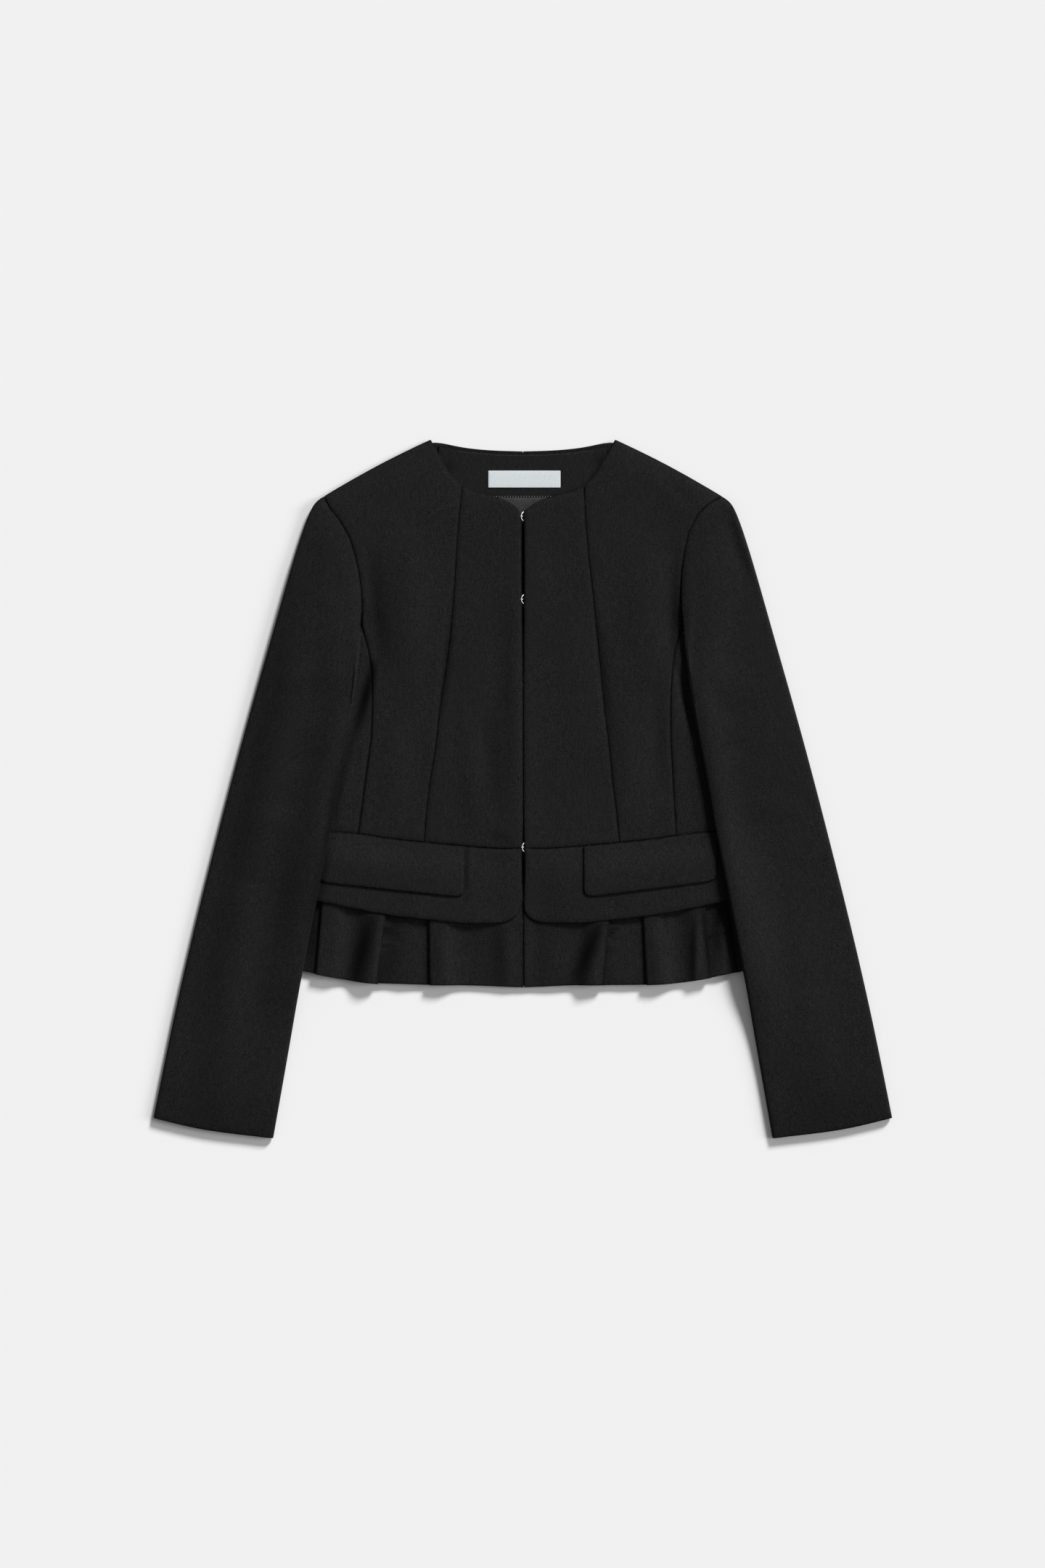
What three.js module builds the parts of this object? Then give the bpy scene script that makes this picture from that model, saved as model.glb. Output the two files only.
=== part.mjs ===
// A short collarless jacket with a two-tier peplum, laid flat on its back with its sleeves down.
// Millimetres: +X is the wearer's left, +Y runs to the neck, +Z is up from the surface it lies on.
// Each half is worked out in distances from the centre front and then set on its own side.
import * as THREE from 'three';

// Cloth
const SEAM = 0.3;           // clear width of a seam, and of the air between two layers
const WAIST_SEAM = 0.5;     // the waist seam, where the peplum hangs from the body
const LINED = 1.8;          // lined wool of the body and sleeves
const TIER_WALL = 1.6;      // peplum tier and flaps
const RUFFLE_WALL = 1.0;    // unlined ruffle
const TRIM_WALL = 1.0;      // facing, lining and label

// Heights of the laid layers above the surface
const BODY_TOP = 7.4;
const CENTRE_TOP = 8.0;     // where the two fronts meet over the hooks
const NECK_TOP = 5.9;
const SHOULDER_TOP = LINED + SEAM + LINED;
const SHOULDER_ROLL = 16;
const SIDE_END = LINED + SEAM;
const SIDE_ROLL = 12;
const TUCK = 14;            // how far the body's sides reach in under the sleeves
const DENT = 2.9;           // hollow that the sleeve presses into the armpit
const DENT_REACH = 26;
const DENT_START = 55;      // height up the jacket at which the hollow begins
const NECK_REACH = 18;      // the fronts come down to NECK_TOP within this distance of the neckline
const NECK_BLEND = [20, 60];      // between these distances from the centre front that begins to hold
const CENTRE_BLEND = [8, 28];     // and between these the raised centre goes over into the flat body

// Sleeve
const SLEEVE_HEIGHT = 6.8;
const SLEEVE_CLEAR = 0.8;

// Peplum
const TIER_TOP = 11.35;
const TIER_SEAM_TOP = 6.9;
const TIER_CENTRE_TOP = 8.75;
const TIER_RISE = 30;
const TIER_ROLL = 7;
const TIER_CENTRE_BLEND = [15, 50];   // here its raised centre goes over into the plain height
const FLAP_CORNER = 8;
const RUFFLE_START = 34;    // the ruffle is sewn inside the tier this far below the waist seam

const CLOTH = { color: 0x1f1f20, roughness: 0.92, metalness: 0 };
const LINING = { color: 0x37383a, roughness: 0.55, metalness: 0 };
const LABEL = { color: 0xd2dadd, roughness: 0.6, metalness: 0 };
const WIRE = { color: 0xb9bcc0, roughness: 0.3, metalness: 0.9 };

// Tables of the flat shape: distances from the centre front at heights up the jacket
const SHOULDER = [
  { x: 88.9, y: 336.4 }, { x: 113, y: 325 }, { x: 137.6, y: 312.6 },
  { x: 158, y: 301.4 }, { x: 177.5, y: 290.2 }, { x: 192, y: 281.6 },
];
const BACK_NECK = [
  { x: 0, y: 325.2 }, { x: 18, y: 325.4 }, { x: 35, y: 326.2 }, { x: 60, y: 328.7 },
  { x: 76, y: 332.5 }, { x: 88.9, y: 336.4 },
];
const NECK_CENTRE = [
  { x: 1.3, y: 266.5 }, { x: 6, y: 270.6 }, { x: 15, y: 277.5 }, { x: 29, y: 281.9 },
  { x: 47, y: 286.5 }, { x: 58.5, y: 291.5 },
];
const NECK_SIDE = [{ x: 69, y: 301.8 }, { x: 79, y: 318 }, { x: 88.9, y: 336.4 }];
const SLEEVE_OUTER = [
  { y: -316.8, x: 356 }, { y: -233.5, x: 339.2 }, { y: -149.5, x: 320.3 }, { y: -65.5, x: 299.6 },
  { y: 18.6, x: 277.9 }, { y: 102.6, x: 254.8 }, { y: 165.6, x: 236.6 }, { y: 207.6, x: 225 },
  { y: 249.6, x: 211.8 }, { y: 270.6, x: 203.4 }, { y: 275.8, x: 200 }, { y: 279, x: 196.4 },
  { y: 281.6, x: 192 },
];
const SLEEVE_INNER = [
  { y: -336.5, x: 240.3 }, { y: -254.5, x: 225.8 }, { y: -191.5, x: 214.6 }, { y: -157, x: 207.7 },
  { y: -110, x: 198.5 }, { y: -85, x: 193.3 }, { y: -60, x: 188.5 }, { y: -30, x: 182.6 },
  { y: 0, x: 177.6 }, { y: 25, x: 173 }, { y: 55, x: 167 }, { y: 80, x: 162.4 },
  { y: 105, x: 159.3 }, { y: 130, x: 156.3 }, { y: 156, x: 155 },
];
const CUFF = [
  { x: 240.3, y: -336.4 }, { x: 275, y: -332.6 }, { x: 307.2, y: -328.2 },
  { x: 330.4, y: -323.2 }, { x: 356, y: -316.8 },
];
const ARMHOLE = [
  { y: 156, right: 155.4, left: 154 }, { y: 170, right: 154.6, left: 153.1 },
  { y: 190, right: 155.3, left: 152.6 }, { y: 215, right: 159, left: 153.9 },
  { y: 235, right: 164.6, left: 157.2 }, { y: 250, right: 170.2, left: 160.8 },
  { y: 260, right: 177.4, left: 165.5 }, { y: 268, right: 183.5, left: 172 },
  { y: 275, right: 190.5, left: 179.5 },
];
const BACK_ARMHOLE = [
  { x: 172.2, y: 138 }, { x: 172.5, y: 160 }, { x: 173.5, y: 200 }, { x: 176, y: 240 },
  { x: 182, y: 262 }, { x: 192, y: 281.6 },
];
const UNDERARM = [
  { y: -50, right: 159.3, left: 148.6 }, { y: -20, right: 155.3, left: 146.4 },
  { y: 5, right: 152, left: 144.8 }, { y: 36, right: 147.7, left: 143.6 },
  { y: 60, right: 144.8, left: 141.8 }, { y: 86, right: 144.5, left: 142.7 },
  { y: 112, right: 145, left: 143.9 }, { y: 132, right: 147.9, left: 146.3 },
  { y: 145, right: 151.6, left: 150.2 }, { y: 156, right: 155.4, left: 154 },
];
const PRINCESS = [
  { y: -55, right: 95.2, left: 93.1 }, { y: -21, right: 93, left: 90 },
  { y: 9, right: 89.3, left: 86 }, { y: 35, right: 84.6, left: 83.7 },
  { y: 84, right: 79.3, left: 77.7 }, { y: 133, right: 71.5, left: 73 },
  { y: 187, right: 66.5, left: 67.5 }, { y: 244, right: 63, left: 61.3 },
  { y: 291.5, right: 58.5, left: 58.5 },
];
const WAIST = [
  { x: 0, y: -57.4 }, { x: 20, y: -57.7 }, { x: 45, y: -56.2 }, { x: 75, y: -53.6 },
  { x: 95, y: -51.6 }, { x: 120, y: -49.2 }, { x: 140, y: -46.3 }, { x: 160, y: -43.2 },
  { x: 184, y: -41.5 }, { x: 215, y: -40 },
];
// Half the gap between the two fronts, and where the middle of that gap wanders to
const FRONT_GAP = [
  { y: -195, half: 0.5 }, { y: -105, half: 0.4 }, { y: -80, half: 1.5 }, { y: -62, half: 1.5 },
  { y: -50, half: 0.35 }, { y: 100, half: 0.35 }, { y: 180, half: 1.2 }, { y: 255, half: 1.4 },
  { y: 267, half: 1.3 },
];
const FRONT_LEAN = 0.003;   // the closure leans this much for each millimetre, about its middle
const FRONT_MIDDLE = 100;
const ARMPIT = { x: 171.7, y: 118 };
const ARMPIT_TAIL = { x: 175, y: 75 };

const SIDES = [{ side: 'left', sign: 1 }, { side: 'right', sign: -1 }];
const jacket = new THREE.Group();

const lerp = THREE.MathUtils.lerp;
const eased = (from, to, at) => THREE.MathUtils.smoothstep(at, from, to);
const rounded = (share) => Math.sqrt(1 - (1 - THREE.MathUtils.clamp(share, 0, 1)) ** 2);
const radians = THREE.MathUtils.degToRad;
const evenly = (count) => Array.from({ length: count + 1 }, (_, i) => i / count);

// Shares of a piece's length or width at which its rows and columns lie
const SEAM_SHARES = [0, 0.08, 0.17, 0.27, 0.37, 0.47, 0.57, 0.67, 0.76, 0.84, 0.91, 0.96, 1];
const UNDERARM_SHARES = [0, 0.14, 0.3, 0.46, 0.62, 0.78, 0.9, 1];
const ARMHOLE_SHARES = [0, 0.12, 0.25, 0.38, 0.52, 0.66, 0.8, 0.9, 1];
const SIDE_FRONT_SHARES = [0, 0.2, 0.4, 0.58, 0.74, 0.88, 1];
const ROLL_ANGLES = [65, 40, 18, 0].map(radians);

// Sleeve: the level that its under layer keeps over the body's side, and how its folds run
const UNDER_SLEEVE = [
  { y: -340, level: 0 }, { y: -262, level: 0 }, { y: -215, level: 3.2 }, { y: -180, level: 8.8 },
  { y: -140, level: 9.8 }, { y: -118, level: 12.2 }, { y: -95, level: 14.3 }, { y: -60, level: 14.3 },
  { y: -38, level: 9.4 }, { y: -20, level: BODY_TOP + SLEEVE_CLEAR },
  { y: 170, level: BODY_TOP + SLEEVE_CLEAR },
];
const SLEEVE_SHARES = [
  0, 0.074, 0.151, 0.206, 0.257, 0.308, 0.358, 0.419, 0.49, 0.56, 0.62, 0.69,
  0.77, 0.85, 0.91, 0.955, 0.98, 0.992, 1,
];
const SLEEVE_FOLD = SLEEVE_HEIGHT / 2;
const FOLD_AT_SEAM = 0.6;
const FOLD_SLOPE = radians(50);
const SIDE_DROP = 1.5;      // the under layer has come down this much where it crosses the body's side
const RAMP = 20;            // the under layer reaches the surface this far out from the body's side
const RAMP_AT_ARMPIT = 8;
const RAMP_NARROWS = 60;    // height up the jacket from which the ramp narrows towards the armpit
const RAMP_ENDS = 130;
const UPPER_RAMP = 35;      // the upper layer comes down over this width beside the body
const UPPER_START = -4;
const CAP_REACH = 45;       // the upper layer leaves the armhole seam over this distance
const CAP_START = 0.78;     // share of the sleeve's length from which its folds turn in to the armhole
const CUFF_SLANT = 0.3;     // share of its length over which the cuff's slant dies out
const UNDERARM_LIFT = 1.64; // the sleeve seam stands this much higher at its lowest point
const UNDERARM_REACH = 40;
const SEAM_FOLD_START = 0.9;      // share of its length from which the fold closes to FOLD_AT_SEAM

// Tier of the peplum
const TIER_HEM = [
  { x: 0, right: -107, left: -111 }, { x: 1.2, right: -112, left: -116 }, { x: 3, right: -117, left: -120 },
  { x: 7, right: -122.8, left: -124.8 }, { x: 14, right: -127.4, left: -128.2 },
  { x: 24, right: -129.2, left: -129.4 }, { x: 47, right: -129.4, left: -129.4 },
  { x: 64, right: -129, left: -129 }, { x: 88, right: -125.8, left: -125.8 },
  { x: 120, right: -122.8, left: -122.8 }, { x: 150, right: -117.5, left: -117.5 },
  { x: 175, right: -112.5, left: -112.5 }, { x: 198, right: -107.5, left: -107.5 },
  { x: 220, right: -102.5, left: -102.5 },
];
const TIER_DEPTHS = [WAIST_SEAM / 2, 6, 12, 19, 27, 38, 50];
const TIER_SHARES = [0, 0.008, 0.025, 0.05, 0.09, 0.14, 0.21, 0.29, 0.4, 0.52, 0.64, 0.76, 0.88, 1];
const TIER_BACK_TOP = TIER_WALL;
const TIER_END = TIER_BACK_TOP + SEAM;
const HEM_CORNER_END = 24;  // beyond this far from the front edge the tier's hem is no longer rounded
const BACK_HEM_SHORTER = 1; // the back's hems end this much above the fronts'
const BACK_SHARES = evenly(16).map((share) => 2 * share - 1);

// Pocket flaps
const FLAPS = {
  left: { inner: 58.8, outer: 187, innerDrop: 104.6, outerDrop: 88.3 },
  right: { inner: 55.8, outer: 197, innerDrop: 104.6, outerDrop: 89.5 },
};
const FLAP_DEPTHS = TIER_DEPTHS.slice(0, 6);

// Ruffle
const RUFFLE_HEM = [
  { x: 0, y: -191.2 }, { x: 22, y: -190.5 }, { x: 46, y: -189.2 }, { x: 90, y: -189.2 },
  { x: 126, y: -188.8 }, { x: 150, y: -187 }, { x: 183, y: -181.8 }, { x: 200, y: -178.5 },
  { x: 211, y: -175.6 }, { x: 232, y: -170 },
];
// Fold lines from the top of the ruffle to its hem; each pleat's two folds turn in towards each other
const PLEATS = {
  left: [
    { name: 'first', top: 86, hem: 78.3, depth: 12 }, { name: 'second', top: 114, hem: 119.2, depth: 12 },
    { name: 'third', top: 172.8, hem: 181, depth: 9 }, { name: 'fourth', top: 191, hem: 205.5, depth: 3.5 },
  ],
  right: [
    { name: 'first', top: 91.1, hem: 89.5, depth: 12 },
    { name: 'second', top: 127.6, hem: 139.4, depth: 12 },
    { name: 'third', top: 190.5, hem: 199.3, depth: 9 },
  ],
  back: [
    { name: 'first', top: 82, hem: 82, depth: 10 }, { name: 'second', top: 112, hem: 116, depth: 10 },
    { name: 'third', top: 165, hem: 172, depth: 9 }, { name: 'fourth', top: 190, hem: 200, depth: 5 },
  ],
};
const LAYER = RUFFLE_WALL + SEAM;
const TURN = LAYER / 2;     // radius of a pleat's fold, along the middle of the wall
const FOLD_INSET = TURN + RUFFLE_WALL / 2;
const RUFFLE_SIDE_TOP = -74;
const RUFFLE_SIDE_HEM = -172;
const RUFFLE_INSET = 3;     // the ruffle's sides stay this far inside the tier's
const FRONT_BASE = 6.3;
const BACK_BASE = 2.4;
const RUFFLE_ROLL = 9;      // the side of a front ruffle turns down over this width
const RUFFLE_DROP = 1.9;    // the ruffle settles by this much once it is clear of the tier
// Rows down the ruffle: how far the front and back have settled, and how far the folds stand out
// below lies a row under the tier's hem, and towards its share from there to the ruffle's own hem
const RUFFLE_ROWS = [
  { below: -3, towards: 0, front: 0, back: 0, flare: 0 },
  { below: -3, towards: 0, front: 0, back: 0, flare: 0 },
  { below: 1, towards: 0, front: 0.05, back: 0, flare: 0 },
  { below: 7, towards: 0, front: 0.35, back: 0.5, flare: 0.2 },
  { below: 13, towards: 0, front: 0.65, back: 1, flare: 0.4 },
  { below: 13, towards: 0.45, front: 1, back: 1, flare: 0.8 },
  { below: 13, towards: 1, front: 1, back: 1, flare: 1.3 },
];
// How the raised panel beside a fold sags away from it, to the level of the pleat's floor
const SAG = [
  { away: 2, level: 2 }, { away: 7, level: 1.65 }, { away: 13, level: 0.4 }, { away: 18, level: 0 },
];
const RUFFLE_ROLL_ANGLES = [60, 30, 0].map(radians);
const FRONT_TURN = [90, 30, -30, -90];
const BACK_TURN = [90, 0, -90];

// Back neck
const FACING_BOTTOM = 280.7;
const FACING_TOP = [
  { x: 0, y: 323.6 }, { x: 18, y: 323.8 }, { x: 35, y: 324.6 }, { x: 60, y: 327.1 }, { x: 81, y: 331 },
];
const FACING_SIDE = [
  { x: 60, y: FACING_BOTTOM }, { x: 68, y: 286.5 }, { x: 75, y: 295 }, { x: 83, y: 309 }, { x: 81, y: 331 },
];
const LINING_WIDTH = 92;
const LINING_BOTTOM = 256;
const LABEL_SIZE = { width: 69.3, height: 16.1, x: 1.4, y: 298.2 };

// Hooks and eyes, each path about its own place at the closure
const HOOK_HEIGHTS = [262.2, 182.4, 102.6, 23.5, -56.4];
const WIRE_RADIUS = 0.35;
const WIRE_SIDES = 5;
const WIRE_STEPS = 12;
const EYE_PATH = [
  { x: 4, y: 4, z: 5.5 }, { x: 1.4, y: 3.9, z: 5.3 }, { x: -0.4, y: 2.9, z: 4.7 },
  { x: -1.4, y: 0, z: 4.65 },
  { x: -0.4, y: -2.9, z: 4.7 }, { x: 1.4, y: -3.9, z: 5.3 }, { x: 4, y: -4, z: 5.5 },
];
const HOOK_PATH = [
  { x: -6, y: 0, z: 5.3 }, { x: -4.2, y: 0, z: 4.5 }, { x: -2.2, y: 0, z: 3.8 }, { x: 0, y: 0, z: 3.75 },
  { x: 1.1, y: 0, z: 4.65 }, { x: 0, y: 0, z: 5.5 }, { x: -2.2, y: 0, z: 5.5 },
];

// A smooth reading between the rows of a table, which never swings past them
function reading(rows, along, column, at) {
  const last = rows.length - 2;
  let i = 0;
  while (i < last && at > rows[i + 1][along]) i += 1;
  const slope = (j) => (rows[j + 1][column] - rows[j][column]) / (rows[j + 1][along] - rows[j][along]);
  const span = rows[i + 1][along] - rows[i][along];
  const t = THREE.MathUtils.clamp((at - rows[i][along]) / span, 0, 1);
  const here = slope(i);
  const shared = (a, b) => (a * b > 0 ? (2 * a * b) / (a + b) : 0);
  const start = i > 0 ? shared(here, slope(i - 1)) : here;
  const end = i < last ? shared(here, slope(i + 1)) : here;
  const toStart = (start - here) * t * (1 - t) ** 2;
  const toEnd = (end - here) * t ** 2 * (t - 1);
  return lerp(rows[i][column], rows[i + 1][column], t) + span * (toStart + toEnd);
}

// Points spaced along a smooth curve through a list of points
function spaced(points, shares) {
  const curve = new THREE.CatmullRomCurve3(points.map((p) => new THREE.Vector3(p.x, p.y, 0)));
  return shares.map((share) => curve.getPointAt(share));
}

// The same line moved sideways, to its left where the gap is positive
function beside(line, gap) {
  const normals = line.slice(1).map((p, i) => {
    const along = new THREE.Vector2(p.x - line[i].x, p.y - line[i].y).normalize();
    return new THREE.Vector2(-along.y, along.x);
  });
  return line.map((p, i) => {
    const first = normals[Math.max(i - 1, 0)];
    const last = normals[Math.min(i, normals.length - 1)];
    const middle = first.clone().add(last).normalize();
    const reach = gap / middle.dot(first);
    return { x: p.x + middle.x * reach, y: p.y + middle.y * reach };
  });
}

function distanceTo(line, x, y) {
  let nearest = Infinity;
  for (let i = 0; i + 1 < line.length; i += 1) {
    const a = line[i];
    const b = line[i + 1];
    const length = (b.x - a.x) ** 2 + (b.y - a.y) ** 2;
    const t = THREE.MathUtils.clamp(((x - a.x) * (b.x - a.x) + (y - a.y) * (b.y - a.y)) / length, 0, 1);
    nearest = Math.min(nearest, Math.hypot(x - lerp(a.x, b.x, t), y - lerp(a.y, b.y, t)));
  }
  return nearest;
}

// Four-sided sheet of plan points between its two sides and the lines across its ends
function patch(left, right, bottom, top) {
  const rows = left.length - 1;
  const columns = bottom.length - 1;
  const corner = (side, across) => ({ x: side.x, y: across.y });
  const corners = {
    bottomLeft: corner(left[0], bottom[0]),
    bottomRight: corner(right[0], bottom[columns]),
    topLeft: corner(left[rows], top[0]),
    topRight: corner(right[rows], top[columns]),
  };
  const between = (i, j, axis) => {
    const u = i / columns;
    const v = j / rows;
    const low = lerp(corners.bottomLeft[axis], corners.bottomRight[axis], u);
    const high = lerp(corners.topLeft[axis], corners.topRight[axis], u);
    const across = lerp(bottom[i][axis], top[i][axis], v);
    return across + lerp(left[j][axis], right[j][axis], u) - lerp(low, high, v);
  };
  const first = [corners.bottomLeft, ...bottom.slice(1, -1), corners.bottomRight];
  const last = [corners.topLeft, ...top.slice(1, -1), corners.topRight];
  const inner = left.slice(1, -1).map((_, j) => bottom.map((__, i) => (
    { x: between(i, j + 1, 'x'), y: between(i, j + 1, 'y') }
  )));
  return [first, ...inner, last];
}

// The other face of a cloth: each point moved in by the wall, straight down unless it has its own normal
function backed(grid, thickness) {
  return grid.map((row) => row.map((p) => ({
    x: p.x - thickness * (p.nx ?? 0),
    y: p.y - thickness * (p.ny ?? 0),
    z: p.z - thickness * (p.nz ?? 1),
  })));
}

// One closed cloth wall between two grids, with rims at its edges, or joined round into a tube
function wall(face, back, tube) {
  const rows = face.length;
  const columns = face[0].length;
  const positions = [...face, ...back].flat().flatMap((p) => [p.x, p.y, p.z]);
  const at = (layer, j, i) => (layer * rows + j) * columns + (i % columns);
  const indices = [];
  const quad = (a, b, c, d) => indices.push(a, b, c, a, c, d);
  const across = tube ? columns : columns - 1;
  for (let i = 0; i < across; i += 1) {
    for (let j = 0; j + 1 < rows; j += 1) {
      quad(at(0, j, i), at(0, j, i + 1), at(0, j + 1, i + 1), at(0, j + 1, i));
      quad(at(1, j, i), at(1, j + 1, i), at(1, j + 1, i + 1), at(1, j, i + 1));
    }
    quad(at(0, 0, i + 1), at(0, 0, i), at(1, 0, i), at(1, 0, i + 1));
    quad(at(0, rows - 1, i), at(0, rows - 1, i + 1), at(1, rows - 1, i + 1), at(1, rows - 1, i));
  }
  for (let j = 0; !tube && j + 1 < rows; j += 1) {
    quad(at(0, j, 0), at(0, j + 1, 0), at(1, j + 1, 0), at(1, j, 0));
    quad(at(0, j + 1, across), at(0, j, across), at(1, j, across), at(1, j + 1, across));
  }
  const geometry = new THREE.BufferGeometry();
  geometry.setAttribute('position', new THREE.Float32BufferAttribute(positions, 3));
  geometry.setIndex(indices);
  if (signedVolume(geometry) < 0) geometry.setIndex(indices.reverse());
  geometry.computeVertexNormals();
  return geometry;
}

function signedVolume(geometry) {
  const corner = (i) => new THREE.Vector3().fromBufferAttribute(geometry.attributes.position, i);
  const order = geometry.index.array;
  let volume = 0;
  for (let i = 0; i < order.length; i += 3) {
    volume += corner(order[i]).dot(corner(order[i + 1]).cross(corner(order[i + 2])));
  }
  return volume;
}

function add(name, geometry, finish) {
  const mesh = new THREE.Mesh(geometry, new THREE.MeshStandardMaterial(finish));
  mesh.name = name;
  jacket.add(mesh);
}

function addCloth(name, grid, thickness, sign, { finish = CLOTH, tube = false } = {}) {
  const face = grid.map((row) => row.map((p) => ({ ...p, x: p.x * sign, nx: (p.nx ?? 0) * sign })));
  add(name, wall(face, backed(face, thickness), tube), finish);
}

// Lines of the flat shape
const waistY = (x) => reading(WAIST, 'x', 'y', x);
const sideEdge = (y) => reading(SLEEVE_INNER, 'y', 'x', y) + TUCK;
const frontEdge = (sign, y) => (
  reading(FRONT_GAP, 'y', 'half', y) + sign * FRONT_LEAN * (FRONT_MIDDLE - y)
);
const armpitTop = { x: ARMHOLE[0].left, y: ARMHOLE[0].y };
const NECKLINE = [...NECK_CENTRE, ...NECK_SIDE];

const dent = (x, y) => DENT * eased(DENT_START, ARMPIT.y, y)
  * (1 - eased(0, DENT_REACH, distanceTo([armpitTop, ARMPIT, ARMPIT_TAIL], x, y)));

function bodyTop(x, y) {
  const neck = (BODY_TOP - NECK_TOP) * (1 - eased(0, NECK_REACH, distanceTo(NECKLINE, x, y)))
    * eased(...NECK_BLEND, x);
  const centre = (CENTRE_TOP - BODY_TOP) * (1 - eased(...CENTRE_BLEND, x));
  const flat = BODY_TOP - neck - dent(x, y);
  const roll = rounded(distanceTo(SHOULDER, x, y) / SHOULDER_ROLL);
  return lerp(SHOULDER_TOP, flat, roll) + centre;
}

const raised = (grid) => grid.map((row) => row.map((p) => ({ ...p, z: bodyTop(p.x, p.y) })));

// Body

// A seam that runs up from the waist, its places read from a table
function seamLine(rows, side, shares, top) {
  const waist = waistY(rows[0][side]) + WAIST_SEAM / 2;
  return shares.map((share) => {
    const y = lerp(waist, top, share);
    return { x: reading(rows, 'y', side, y), y };
  });
}

const waistLine = (from, to, shares, lift) => shares.map((share) => {
  const x = lerp(from, to, share);
  return { x, y: waistY(x) + lift };
});

const princess = (side) => seamLine(PRINCESS, side, SEAM_SHARES, PRINCESS.at(-1).y);
const underarm = (side) => seamLine(UNDERARM, side, UNDERARM_SHARES, UNDERARM.at(-1).y);
const armhole = (side) => spaced(
  [...ARMHOLE.map((row) => ({ x: row[side], y: row.y })), SHOULDER.at(-1)],
  ARMHOLE_SHARES,
);

function frontCentre(side, sign) {
  const seam = beside(princess(side), SEAM / 2);
  const waist = waistY(0) + WAIST_SEAM / 2;
  const edge = SEAM_SHARES.map((share) => {
    const y = lerp(waist, NECK_CENTRE[0].y, share);
    return { x: frontEdge(sign, y), y };
  });
  const width = NECK_CENTRE.at(-1).x - NECK_CENTRE[0].x;
  const shares = NECK_CENTRE.map((p) => (p.x - NECK_CENTRE[0].x) / width);
  const bottom = waistLine(edge[0].x, seam[0].x, shares, WAIST_SEAM / 2);
  addCloth(`front_centre_${side}`, raised(patch(edge, seam, bottom, NECK_CENTRE)), LINED, sign);
}

function frontSide(side, sign) {
  const inner = [...beside(princess(side), -SEAM / 2), ...NECK_SIDE];
  const outer = beside([...underarm(side), ...armhole(side).slice(1)], SEAM / 2);
  const bottom = waistLine(inner[0].x, outer[0].x, SIDE_FRONT_SHARES, WAIST_SEAM / 2);
  const shoulder = spaced(SHOULDER, SIDE_FRONT_SHARES);
  addCloth(`front_side_${side}`, raised(patch(inner, outer, bottom, shoulder)), LINED, sign);
}

// Where the hidden underarm seam meets a line that keeps a distance inside the body's side
function underarmSeam(top, inset) {
  let y = ARMPIT.y;
  for (let i = 0; i < 6; i += 1) {
    const share = (sideEdge(y) - inset - top.x) / (ARMPIT.x - top.x);
    y = lerp(top.y, ARMPIT.y, share);
  }
  return { x: sideEdge(y) - inset, y };
}

function sidePanel(side, sign) {
  const seam = beside(underarm(side), -SEAM / 2);
  const top = seam.at(-1);
  const rising = (inset) => {
    const end = underarmSeam(top, inset);
    const x = sideEdge(waistY(0)) - inset;
    return UNDERARM_SHARES.map((share) => {
      const y = lerp(waistY(x) + WAIST_SEAM / 2, end.y, share);
      return { x: sideEdge(y) - inset, y };
    });
  };
  const start = rising(SIDE_ROLL);
  const bottom = waistLine(seam[0].x, start[0].x, evenly(2), WAIST_SEAM / 2);
  const across = evenly(2).map((share) => ({
    x: lerp(top.x, start.at(-1).x, share), y: lerp(top.y, start.at(-1).y, share),
  }));
  const flat = raised(patch(seam, start, bottom, across));
  const rolls = ROLL_ANGLES.map((angle) => ({ angle, line: rising(SIDE_ROLL * (1 - Math.cos(angle))) }));
  const grid = flat.map((row, j) => {
    const height = row.at(-1).z - SIDE_END;
    const rolled = rolls.map(({ angle, line }) => {
      const normal = new THREE.Vector2(Math.cos(angle) / SIDE_ROLL, Math.sin(angle) / height).normalize();
      const drop = height * Math.sin(angle);
      return { ...line[j], z: SIDE_END + drop, nx: normal.x, nz: Math.min(normal.y, drop / LINED) };
    });
    return [...row, ...rolled];
  });
  addCloth(`side_${side}`, grid, LINED, sign);
}

function back(side, sign) {
  const waist = waistY(0) + WAIST_SEAM / 2;
  const centre = evenly(14).map((share) => ({ x: SEAM / 2, y: lerp(waist, BACK_NECK[0].y, share) }));
  const sideSeam = evenly(7).map((share) => {
    const y = lerp(waistY(sideEdge(waist)) + WAIST_SEAM / 2, ARMPIT.y, share);
    return { x: sideEdge(y), y };
  });
  const hole = beside([ARMPIT, ...spaced(BACK_ARMHOLE, evenly(6))], SEAM / 2);
  const outer = [...sideSeam.slice(0, -1), ...hole];
  const top = [...spaced(BACK_NECK, evenly(4)), ...spaced(SHOULDER, evenly(4)).slice(1)];
  top[0].x = SEAM / 2;
  const bottom = waistLine(SEAM / 2, outer[0].x, evenly(8), WAIST_SEAM / 2);
  const grid = patch(centre, outer, bottom, top).map((row) => row.map((p) => ({ ...p, z: LINED })));
  addCloth(`back_${side}`, grid, LINED, sign);
}

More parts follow.
